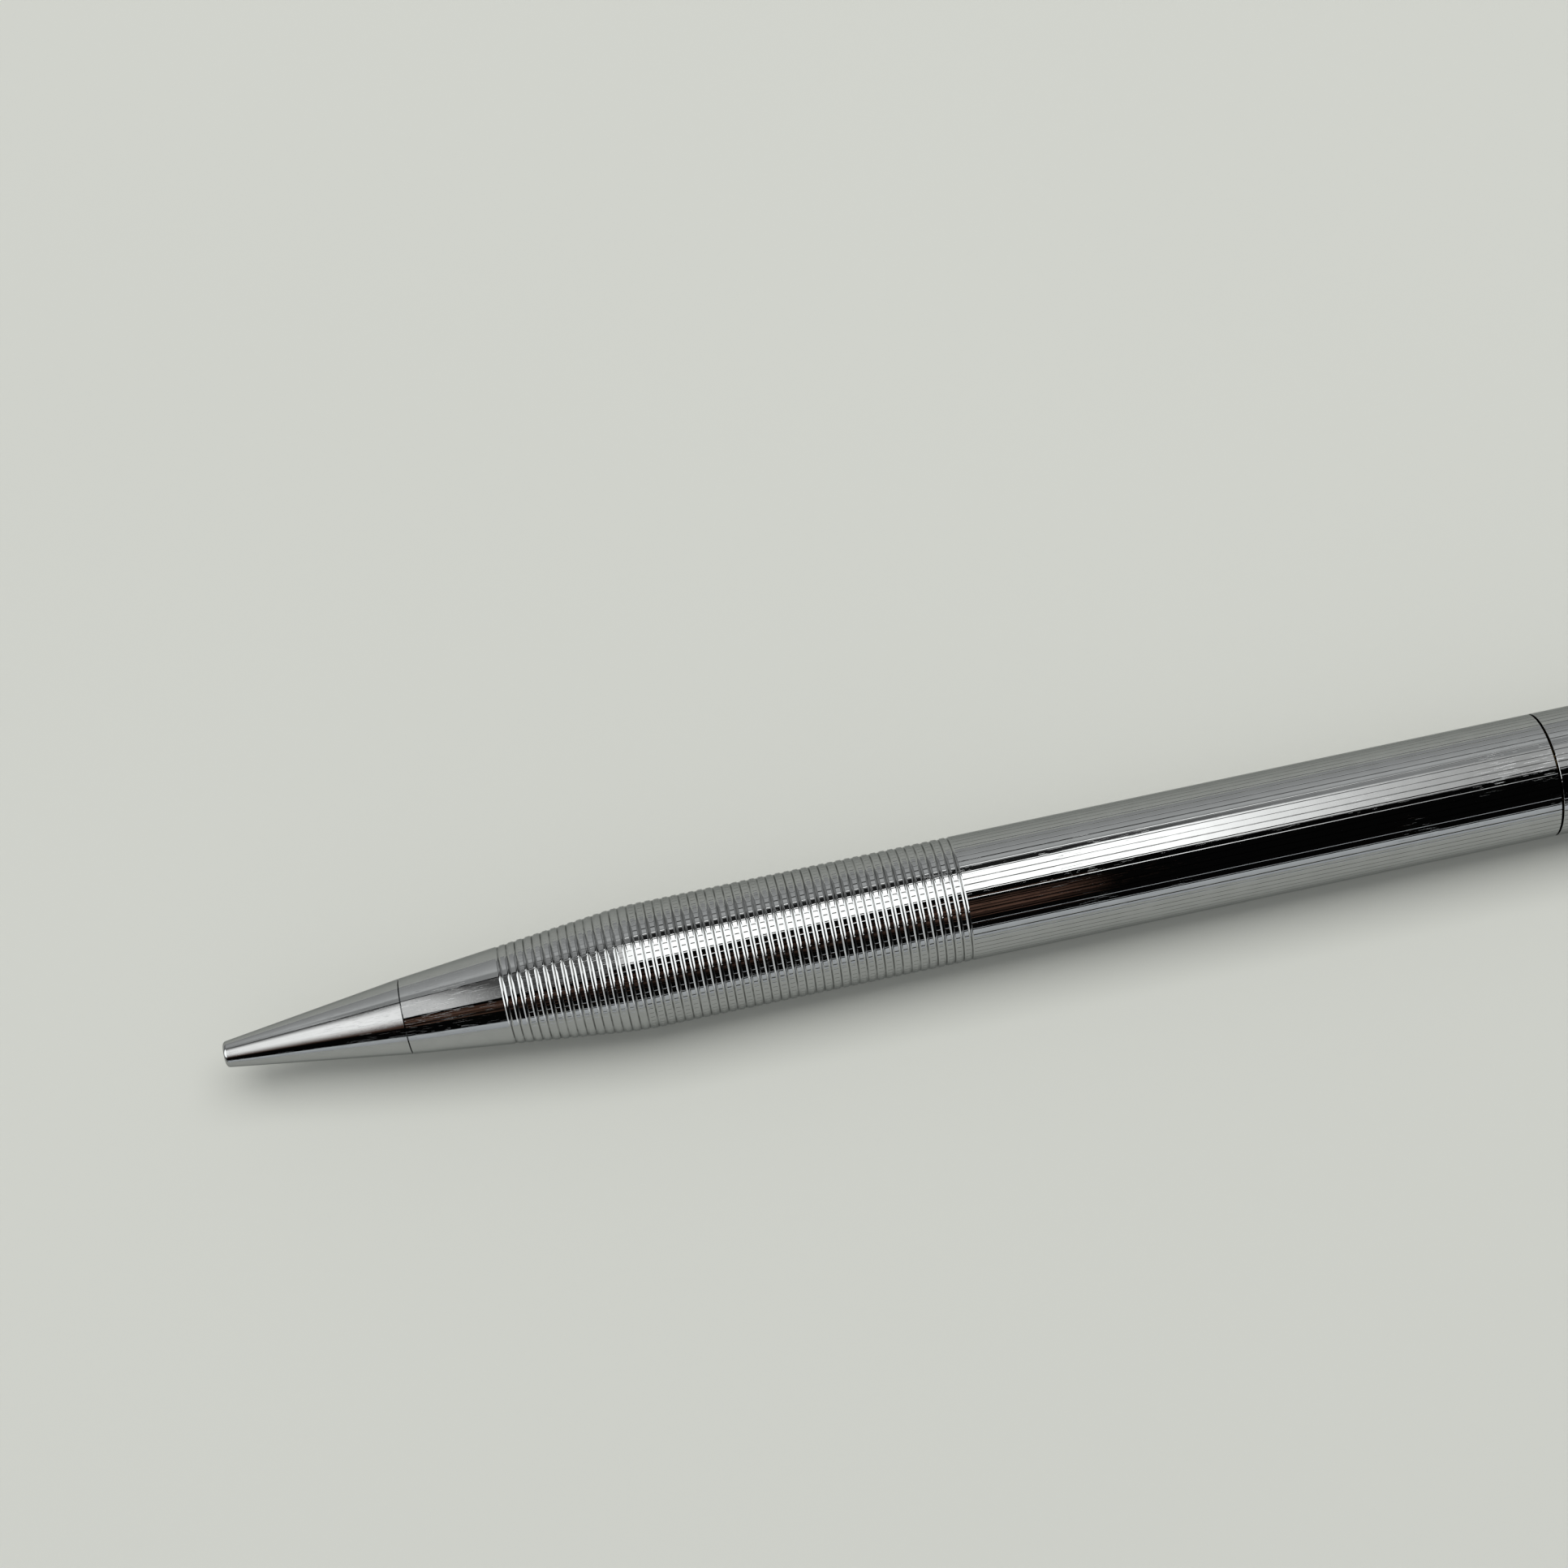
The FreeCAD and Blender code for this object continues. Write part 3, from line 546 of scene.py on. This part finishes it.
def upper_barrel():
    """The upper tube, with an open notch for the clip's leg."""
    start, end = SEAM + SEAM_GAP, SHELL_END
    front, half_width = end - 1.0, 1.05
    outline = supported([(start, SHELL_BORE_R), (start, BARREL_R - SEAM_EASE),
                         (start + SEAM_EASE, BARREL_R), (end - 0.05, BARREL_R),
                         (end - 0.015, BARREL_R - 0.015),
                         (end, BARREL_R - 0.05), (end, SHELL_BORE_R)])
    outer = [k for k, (s, r) in enumerate(outline) if abs(r - BARREL_R) < 1e-6][-2]
    outline.insert(outer, (front, BARREL_R))
    outline.insert(len(outline) - 1, (front, SHELL_BORE_R))
    first, last = outer, len(outline) - 2
    angles, depths = lined_columns(UPPER_PHASE)
    edge = math.asin(half_width / BARREL_R)
    offsets = [(a - CLIP_AZIMUTH + math.pi) % (2 * math.pi) - math.pi for a in angles]
    free = [k for k in range(len(angles)) if clear_of_cuts(depths, k)]
    left = min(free, key=lambda k: abs(offsets[k] + edge))
    right = min(free, key=lambda k: abs(offsets[k] - edge))

    def lined(s, r):
        return r > BARREL_R - 0.01

    verts, faces, sharp, index = lathe(outline, (angles, depths), lined)
    verts = [list(v) for v in verts]
    sin_c, cos_c = math.sin(CLIP_AZIMUTH), math.cos(CLIP_AZIMUTH)
    for column, side in ((left, -1), (right, 1)):
        for ring in range(len(outline)):
            s, r = outline[ring]
            across, up = side * half_width, math.sqrt(r * r - half_width ** 2)
            verts[index[ring][column]] = [s, up * sin_c + across * cos_c, up * cos_c - across * sin_c]
    n = len(angles)
    inside = set()
    k = left
    while k != right:
        inside.add(k)
        k = (k + 1) % n
    kept = []
    for f in range(len(faces)):
        ring, column = divmod(f, n)
        if first <= ring < last and column in inside:
            continue
        kept.append(faces[f])
    k = left
    while k != right:
        j = (k + 1) % n
        kept.append([int(index[first][k]), int(index[first][j]), int(index[last][j]), int(index[last][k])])
        k = j
    kept.append([int(index[r][left]) for r in range(first, last + 1)])
    kept.append([int(index[r][right]) for r in range(last, first - 1, -1)])
    wall = {int(index[r][c]) for r in range(first, last + 1) for c in (left, right)}
    wall |= {int(index[r][c]) for r in (first, last) for c in inside}
    wall_array = np.array(sorted(wall))

    def sharp_too(a, b):
        return sharp(a, b) | (np.isin(a, wall_array) & np.isin(b, wall_array))
    return new_piece("upper_barrel", verts, kept, sharp_too, body="upper_barrel", stands_for="upper_shell",
                     slot="chrome_upper", material=MATERIALS["chrome_upper"])


def collar():
    """The threaded top bushing, with its turned shoulder and cone."""
    face = SHELL_END + 0.05
    crest, root, neck = 3.48, 3.33, 2.95
    outline = [(120.5, 2.46), (120.5, 3.3), (120.7, crest)]
    s = 121.0
    while s < 125.9:
        outline += [(s, crest), (s + 0.25, root)]
        s += 0.5
    outline += [(126.3, crest), (126.4, crest), (126.4, neck), (127.63, neck), (127.63, 3.95)]
    outline += arc((face + 0.05, 3.95), 0.05, 180, 90, 3)[1:]
    outline += [(face + 0.80, 4.0), (face + 0.84, 3.985), (face + 0.95, 3.88), (face + 1.1, 3.88),
                (face + 1.16, 3.95), (face + 1.2, 3.98)]
    outline += [(COLLAR_END - 0.5, 3.15)]
    start, mid, end = (Vector(p) for p in (outline[-1], (COLLAR_END - 0.02, 3.05), (COLLAR_END, 2.72)))
    for t in (0.2, 0.4, 0.6, 0.8, 1.0):
        outline.append(tuple(start.lerp(mid, t).lerp(mid.lerp(end, t), t)))
    outline += [(COLLAR_END, 2.54), (COLLAR_END - 0.02, 2.49), (COLLAR_END - 0.08, 2.46)]
    return turned("collar", supported(outline), plain_columns(192), body="upper_barrel",
                  stands_for="top_bushing", slot="chrome_collar", material=MATERIALS["chrome_collar"])


BUTTON_FRONT, BUTTON_CROWN, BUTTON_R = 121.5, 140.5, 2.4


def button():
    """The push button's cap, a deep cup with a domed end."""
    front = BUTTON_FRONT
    outline = [(front, 2.2), (front, 2.34), (front + 0.03, 2.38), (front + 0.08, BUTTON_R)]
    for s in (137.2, 138.2):                                  # two shallow rings near the crown
        for share in np.linspace(0, 1, 7):
            outline.append((s + 0.32 * share, BUTTON_R - 0.1 * (1 - (2 * share - 1) ** 2)))
    outline.append((BUTTON_CROWN, BUTTON_R))
    start, mid, end = Vector((BUTTON_CROWN, BUTTON_R)), Vector((OVERALL, 2.32)), Vector((OVERALL, 1.5))
    for t in np.linspace(0.1, 1.0, 10):
        outline.append(tuple(start.lerp(mid, t).lerp(mid.lerp(end, t), t)))
    outline += [(OVERALL, 1.05), (OVERALL - 0.02, 1.0), (OVERALL - 0.02, 0.0)]
    outline += [(BUTTON_CROWN, 0.0), (BUTTON_CROWN, 1.9), (BUTTON_CROWN - 0.3, 2.2)]
    return turned("button_cap_polished", supported(outline), plain_columns(160), body="button",
                  stands_for="button_cap", slot="chrome_button", material=MATERIALS["chrome_button"])


# ---- Clip ---------------------------------------------------------------------------------------
CLIP_THICK = 0.6
CLIP_LEG_S = 127.2
CLIP_BEND_R = 1.3
CLIP_ARM = 27.0           # the straight arm's length
CLIP_ARM_SLOPE, CLIP_LIFT_SLOPE = 0.066, 0.30
CLIP_LIFT_R = 6.0
CLIP_SHOULDER_R = 6.5
CLIP_HALF, CLIP_TIP_HALF = 1.65, 1.1
CLIP_TIP_S = 92.4
LEG_FOOT, LEG_TOP, LEG_HALF = 3.1, 4.3, 1.0


def clip_line():
    """Stations along the strip's middle, from the leg's foot to the tip: (s, r, unit normal outwards)."""
    arm, lift = math.atan(CLIP_ARM_SLOPE), math.atan(CLIP_LIFT_SLOPE)
    bend_s, bend_r = CLIP_LEG_S - CLIP_BEND_R, CLIP_SHOULDER_R - CLIP_THICK / 2 - CLIP_BEND_R
    reach = CLIP_BEND_R + CLIP_LIFT_R
    lift_s = bend_s - reach * math.sin(arm) - CLIP_ARM * math.cos(arm)
    lift_r = bend_r + reach * math.cos(arm) - CLIP_ARM * math.sin(arm)
    line = []
    shoulder = [LEG_TOP + step for step in (-0.08, -0.02, 0.02, 0.08)]
    for r in (LEG_FOOT, LEG_FOOT + 0.03, *shoulder, 4.6, bend_r - 0.02):
        line.append((CLIP_LEG_S, r, 1.0, 0.0))
    for a in np.linspace(0, math.pi / 2 + arm, 25):
        out_s, out_r = math.cos(a), math.sin(a)
        line.append((bend_s + CLIP_BEND_R * out_s, bend_r + CLIP_BEND_R * out_r, out_s, out_r))
    first = line[-1]
    for a in np.linspace(arm, -lift, 25):
        out_s, out_r = -math.sin(a), math.cos(a)
        place = (lift_s - CLIP_LIFT_R * out_s, lift_r - CLIP_LIFT_R * out_r, out_s, out_r)
        if a == arm:
            for t in (0.004, 0.1, 0.2, 0.3, 0.4, 0.5, 0.6, 0.7, 0.8, 0.9, 0.996):
                line.append(tuple((1 - t) * p + t * q for p, q in zip(first, place)))
        line.append(place)
    last = line[-1]
    run = last[0] - (CLIP_TIP_S + CLIP_TIP_HALF)
    for share in (0.05, 0.5, 1.0):
        step = run * share
        line.append((last[0] - step, last[1] + step * math.tan(lift), last[2], last[3]))
    return line


def strip_half(s, r):
    """Half the strip's width at a station."""
    if s > CLIP_LEG_S - 0.01 and r < LEG_TOP + 0.08:
        t = min(max((r - (LEG_TOP - 0.08)) / 0.16, 0.0), 1.0)
        return LEG_HALF + (CLIP_HALF - LEG_HALF) * t * t * (3 - 2 * t)
    wide_from = CLIP_LEG_S - CLIP_BEND_R - 1
    if s > wide_from:
        return CLIP_HALF
    share = (wide_from - s) / (wide_from - (CLIP_TIP_S + CLIP_TIP_HALF))
    return CLIP_HALF + (CLIP_TIP_HALF - CLIP_HALF) * share


def clip():
    """One bent strip, drawn on the +Z side and turned to where the clip is."""
    insets = [(0.0, 0.2), (0.012, 0.133), (0.047, 0.07), (0.1, 0.027), (0.16, 0.006), (0.2, 0.0),
              (0.23, 0.0)]
    under = [(0.0, 0.035), (0.01, 0.01), (0.035, 0.0), (0.23, 0.0)]
    line = clip_line()
    verts = []

    def point(station, across, out):
        s, r, ns, nr = station
        verts.append((s + ns * out, across, r + nr * out))
        return len(verts) - 1

    def layer(profile, sign):
        """Rows of vertex numbers across the strip, then nested half rings round its tip."""
        rows = []
        for station in line:
            half = strip_half(station[0], station[1])
            row = [point(station, -(half - d), sign * (CLIP_THICK / 2 - h)) for d, h in profile]
            row.append(point(station, 0.0, sign * CLIP_THICK / 2))
            row += [point(station, half - d, sign * (CLIP_THICK / 2 - h)) for d, h in reversed(profile)]
            rows.append(row)
        last = line[-1]
        along = (-last[3], last[2])
        rings = []
        steps = 20
        for d, h in profile:
            ring = []
            for m in range(1, steps):
                a = math.pi * m / steps
                reach = (CLIP_TIP_HALF - d) * math.sin(a) / abs(along[0])
                place = (last[0] + along[0] * reach, last[1] + along[1] * reach, last[2], last[3])
                ring.append(point(place, -(CLIP_TIP_HALF - d) * math.cos(a), sign * (CLIP_THICK / 2 - h)))
            rings.append(ring)
        return rows, rings

    def skin(rows, rings, flip):
        made = []
        for one, two in zip(rows, rows[1:]):
            for j in range(len(one) - 1):
                made.append([one[j], one[j + 1], two[j + 1], two[j]])
        last = rows[-1]
        middle = len(last) // 2
        full = [[last[k]] + ring + [last[-1 - k]] for k, ring in enumerate(rings)]
        for one, two in zip(full, full[1:]):
            for j in range(len(one) - 1):
                made.append([one[j], one[j + 1], two[j + 1], two[j]])
        inner = full[-1]
        for j in range(len(inner) - 1):
            made.append([inner[j], inner[j + 1], last[middle]])
        return [f[::-1] if flip else f for f in made], full[0]

    top_rows, top_rings = layer(insets, 1)
    low_rows, low_rings = layer(under, -1)
    top_faces, top_rim = skin(top_rows, top_rings, False)
    low_faces, low_rim = skin(low_rows, low_rings, True)
    faces = top_faces + low_faces
    left = ([r[0] for r in top_rows], [r[0] for r in low_rows])
    right = ([r[-1] for r in top_rows], [r[-1] for r in low_rows])
    for (a, b), flip in ((left, False), (right, True)):
        for k in range(len(a) - 1):
            f = [a[k], a[k + 1], b[k + 1], b[k]]
            faces.append(f[::-1] if flip else f)
    for k in range(len(top_rim) - 1):
        faces.append([top_rim[k], top_rim[k + 1], low_rim[k + 1], low_rim[k]])
    foot = top_rows[0] + low_rows[0][::-1]
    faces.append(foot)
    c, s = math.cos(CLIP_TURN), math.sin(CLIP_TURN)
    placed = [(x, y * c - z * s, y * s + z * c) for x, y, z in verts]
    obj = new_piece("pocket_clip", placed, faces, None, body="clip", stands_for="clip", slot="chrome_clip",
                    material=MATERIALS["chrome_clip"])
    obj.data.validate()
    face_outwards(obj)
    obj.data.set_sharp_from_angle(angle=math.radians(50))
    return obj


def face_outwards(obj):
    """Turns every face of a closed mesh outwards."""
    bm = bmesh.new()
    bm.from_mesh(obj.data)
    bmesh.ops.recalc_face_normals(bm, faces=bm.faces)
    bm.to_mesh(obj.data)
    bm.free()


# ---- Chuck spring at one fixed length (the real one shortens as the button is pressed) ------------
SPRING_FRONT, SPRING_BACK = 23.42, 31.38
SPRING_WIRE_R, SPRING_COIL_R, SPRING_TURNS = 0.13, 1.08, 9


def chuck_spring():
    """Round-wire return spring with closed end coils."""
    start, end = SPRING_FRONT + SPRING_WIRE_R, SPRING_BACK - SPRING_WIRE_R
    closed = 2.1 * SPRING_WIRE_R
    sides, steps = 12, SPRING_TURNS * 40
    places = np.interp(np.linspace(0, SPRING_TURNS, steps + 1), [0, 1, SPRING_TURNS - 1, SPRING_TURNS],
                       [start, start + closed, end - closed, end])
    verts, faces = [], []
    for k, s in enumerate(places):
        around = 2 * math.pi * SPRING_TURNS * k / steps
        for m in range(sides):
            turn = 2 * math.pi * m / sides
            r = SPRING_COIL_R + SPRING_WIRE_R * math.cos(turn)
            verts.append((s + SPRING_WIRE_R * math.sin(turn), r * math.cos(around), r * math.sin(around)))
    for k in range(steps):
        for m in range(sides):
            a, b = k * sides + m, k * sides + (m + 1) % sides
            faces.append([a, b, b + sides, a + sides])
    faces.append(list(range(sides))[::-1])
    faces.append([steps * sides + m for m in range(sides)])
    spring = new_piece("return_spring", verts, faces, None, body="cartridge", stands_for="chuck_spring",
                       slot="spring_steel", material=MATERIALS["spring_steel"])
    spring.data.set_sharp_from_angle(angle=math.radians(50))
    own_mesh(spring)


chuck_spring()
nose_cone()
lower_barrel()
upper_barrel()
collar()
button()
clip()

# ---- Materials on the CAD nodes that stay -------------------------------------------------------
for part in frame["record"]["subparts"]:
    node = NODES[part["node"]]
    if node.hide_render:
        continue
    finish = MATERIALS[part["material_slot"]]
    node.data.materials.clear()
    node.data.materials.append(finish)

# ---- Floor, light and camera --------------------------------------------------------------------
FLOOR_HALF, FLOOR_Z = 2.5, -2e-5     # metres


def table_top():
    """The pale table that the pencil lies on."""
    mesh = bpy.data.meshes.new("table_top")
    corners = [(-1, -1), (1, -1), (1, 1), (-1, 1)]
    mesh.from_pydata([(x * FLOOR_HALF, y * FLOOR_HALF, FLOOR_Z) for x, y in corners], [], [(0, 1, 2, 3)])
    floor = bpy.data.objects.new("table_top", mesh)
    bpy.context.scene.collection.objects.link(floor)
    material, net, shader = new_material("pale_table")
    where = net.add("ShaderNodeTexCoord").outputs["Object"]
    cloud = net.noise(where, 9.0, 2.0, 0.5)
    net.put(shader.inputs["Base Color"], net.mix(cloud, (0.655, 0.668, 0.630, 1), (0.625, 0.637, 0.600, 1)))
    shader.inputs["Roughness"].default_value = 0.6
    shader.inputs["Specular IOR Level"].default_value = 0.15
    mesh.materials.append(material)


def deg(value):
    """A direction's angle round the pencil, from the zenith towards +Y in degrees, as a place on a ramp."""
    return (value + 180) / 360


def tilt_place(value):
    """A direction's tilt along the pencil towards +X, in degrees, as a place on a ramp."""
    return (value + 90) / 180


def grey(value, tint=(1.0, 1.0, 1.0)):
    return tuple(value * t for t in tint)


def levels(net, tilt, stops):
    """A number that depends on the tilt along the pencil, from (tilt, level) pairs."""
    most = max(level for _, level in stops)
    colour = net.ramp(net.math("MULTIPLY_ADD", tilt, 1 / 180, 0.5),
                      [(tilt_place(at), grey(level / most)) for at, level in stops])
    return net.math("MULTIPLY", colour, most)


COOL = (0.985, 1.0, 1.0)
BLUE = (0.96, 1.0, 1.03)
WINDOW_WHITE = (1.0, 1.0, 0.99)
SIDE_WHITE = (0.98, 1.0, 1.0)
BROWN = (0.145, 0.078, 0.055)
SOFT_LIGHT = (0.405, 0.412, 0.410)
BACKDROP = (0.558, 0.577, 0.533)
BLACK = (0, 0, 0, 1)
WINDOW_LEVELS = [(-35, 1.6), (-26, 1.7), (-22, 2.05), (-18.5, 1.25), (-16.7, 1.2), (-15.7, 0.13),
                 (-12, 0.2), (-8.5, 1.3), (-5, 2.8), (9.5, 2.9), (11.2, 2.1), (13.6, 1.2), (15.9, 0.75),
                 (26, 1.0), (34, 2.6)]
BROWN_LEVELS = [(-24, 0.55), (-19, 0.75), (-17, 1.0), (-14, 0.45), (4.2, 0.4), (5.6, 1.0), (7.4, 0.9),
                (8.4, 0.0), (60, 0.0)]


def near_and_far(net, psi, chi):
    """The near side, black above a pale floor, and the grey wall on the far side with its dark edge."""
    place = net.math("MULTIPLY_ADD", psi, 1 / 360, 0.5)
    near = net.ramp(place, [
        (0.0, grey(0.5)), (deg(-100), grey(0.60, BLUE)), (deg(-90), grey(0.64, BLUE)),
        (deg(-80), grey(0.75, BLUE)), (deg(-74.0), grey(0.84, BLUE)), (deg(-73.0), grey(0.003)),
        (deg(60), grey(0.003))])
    wall = net.ramp(place, [
        (deg(20), grey(0.8, COOL)), (deg(48), grey(0.84, COOL)), (deg(57), grey(0.80, COOL)),
        (deg(64), grey(0.68, COOL)), (deg(71), grey(0.60, COOL)), (deg(79), grey(0.54, COOL)),
        (deg(90), grey(0.50, COOL)), (1.0, grey(0.5))])
    border = net.smooth(net.math("ABSOLUTE", net.math("SUBTRACT", chi, 3.0)), 4.0, 10.5, 0.03, 0.58)
    border = net.math("MAXIMUM", border, net.smooth(chi, -19.0, -21.5))
    border = net.math("MAXIMUM", border, net.smooth(psi, 44.5, 54.0))
    steep = net.smooth(chi, -20.5, -24.0, 0.0, 0.7)
    steep = net.math("MAXIMUM", steep, net.smooth(chi, 17.5, 21.0, 0.0, 0.7))
    wall = net.mix(net.math("MULTIPLY", border, net.math("SUBTRACT", 1.0, steep)), BLACK, wall)
    return net.mix(net.smooth(psi, 37.8, 38.6), near, wall)


def window_share(net, psi, chi):
    """Where the overhead window is. It has crisp edges, apart from a blurred part towards the tip."""
    blurred = net.smooth(chi, -18.8, -21.5)
    edge = net.smooth(chi, 6.4, 11.2, 1.0, -3.6)
    edge = net.math("SUBTRACT", edge, net.smooth(chi, -8.0, -17.0, 0.0, 15.0))
    edge = net.math("MULTIPLY_ADD", blurred, -12.0, edge)
    top = net.math("MULTIPLY_ADD", blurred, -10.5, net.smooth(chi, 6.0, 8.5, 35.8, 38.8))
    edge_blur = net.math("MULTIPLY_ADD", blurred, 17.0, 1.0)
    top_blur = net.math("MULTIPLY_ADD", blurred, 13.2, 0.8)
    rise = net.smooth(psi, net.math("SUBTRACT", edge, edge_blur), net.math("ADD", edge, edge_blur))
    fall = net.smooth(psi, net.math("ADD", top, top_blur), net.math("SUBTRACT", top, top_blur))
    return net.math("MULTIPLY", rise, fall)


def brown_streaks(net, psi, chi):
    """Faint brown streaks low on the near side."""
    across, along = net.math("MULTIPLY", psi, 0.32), net.math("MULTIPLY", chi, 0.10)
    streaks = net.noise(net.add("ShaderNodeCombineXYZ", {0: across, 1: along}).outputs[0], 1.0, 2.0, 0.6)
    band = net.smooth(net.math("ABSOLUTE", net.math("ADD", psi, 32.0)), 15.0, 9.0)
    band = net.math("MULTIPLY", band, net.smooth(streaks, 0.38, 0.60, 0.12, 1.25))
    return net.scaled(BROWN, net.math("MULTIPLY", band, levels(net, chi, BROWN_LEVELS)))


def ends_of_room(net, psi, chi):
    """What the steep sides of the grooves mirror: bright ends, darker low down and towards the tip."""
    over = net.math("MULTIPLY", net.smooth(psi, -43.0, -37.0), net.smooth(psi, 43.0, 37.0))
    low = net.math("MULTIPLY", net.smooth(chi, -5.0, 5.0, 0.02, 1.0), net.smooth(psi, -36.0, -42.0))
    level = net.math("MAXIMUM", net.math("MULTIPLY", over, 2.7), low)
    level = net.math("MAXIMUM", level, net.smooth(psi, 48.0, 53.0, 0.0, 0.36))
    floor = net.math("MULTIPLY", net.smooth(psi, -70.0, -75.0), net.smooth(chi, -5.0, 5.0, 0.14, 1.25))
    return net.scaled(SIDE_WHITE, net.math("MAXIMUM", level, floor))


def studio():
    """The room that the chrome mirrors, and the soft light that falls on everything else."""
    world = bpy.data.worlds.new("studio")
    bpy.context.scene.world = world
    world.use_nodes = True
    net = Net(world.node_tree)
    direction = net.add("ShaderNodeTexCoord").outputs["Generated"]
    parts = net.add("ShaderNodeSeparateXYZ", {0: direction})
    psi = net.math("MULTIPLY", net.math("ARCTAN2", parts.outputs["Y"], parts.outputs["Z"]), 180 / math.pi)
    chi = net.math("MULTIPLY", net.math("ARCSINE", parts.outputs["X"]), 180 / math.pi)
    window = net.scaled(WINDOW_WHITE, levels(net, chi, WINDOW_LEVELS))
    room = net.mix(window_share(net, psi, chi), near_and_far(net, psi, chi), window)
    brown = brown_streaks(net, psi, chi)
    room = net.add("ShaderNodeVectorMath", {0: room, 1: brown}, operation="ADD").outputs[0]
    at_ends = net.math("MAXIMUM", net.smooth(chi, 22.0, 27.0), net.smooth(chi, -27.0, -31.0))
    room = net.mix(at_ends, room, ends_of_room(net, psi, chi))
    path = net.add("ShaderNodeLightPath")
    seen = net.mix(path.outputs["Is Glossy Ray"], (*SOFT_LIGHT, 1), room)
    seen = net.mix(path.outputs["Is Camera Ray"], seen, (*BACKDROP, 1))
    background = net.add("ShaderNodeBackground", {"Color": seen, "Strength": 1.0})
    out = net.add("ShaderNodeOutputWorld")
    net.put(out.inputs["Surface"], background.outputs[0])
    world.cycles.sampling_method = "NONE"


def softbox(name, place, target, size, watts, colour=(1.0, 0.99, 0.97)):
    """A soft rectangular light that chrome and camera don't see. Sizes are in metres."""
    light = bpy.data.lights.new(name, "AREA")
    light.shape = "RECTANGLE"
    light.size, light.size_y = size
    light.energy = watts
    light.color = colour
    obj = bpy.data.objects.new(name, light)
    bpy.context.scene.collection.objects.link(obj)
    obj.location = place
    obj.rotation_mode = "QUATERNION"
    obj.rotation_quaternion = (Vector(target) - Vector(place)).to_track_quat("-Z", "Y")
    obj.visible_glossy = False
    obj.visible_camera = False
    return obj


def photo_camera():
    """The photograph's viewpoint, 0.19 m above the table."""
    data = bpy.data.cameras.new("camera")
    camera = bpy.data.objects.new("camera", data)
    bpy.context.scene.collection.objects.link(camera)
    data.lens = 69.3
    data.sensor_width = 36.0
    data.clip_start = 0.01
    target = Vector((-32.706, 10.955, 4.0)) / 1000
    camera.location = Vector((-41.894, -31.647, 192.774)) / 1000
    camera.rotation_mode = "QUATERNION"
    camera.rotation_quaternion = (target - camera.location).to_track_quat("-Z", "Y")
    bpy.context.scene.camera = camera
    bpy.context.scene.view_settings.view_transform = "Standard"


table_top()
studio()
softbox("window", (0.0, 0.33, 1.05), (0, 0, 0), (1.4, 0.75), 9.4)
photo_camera()
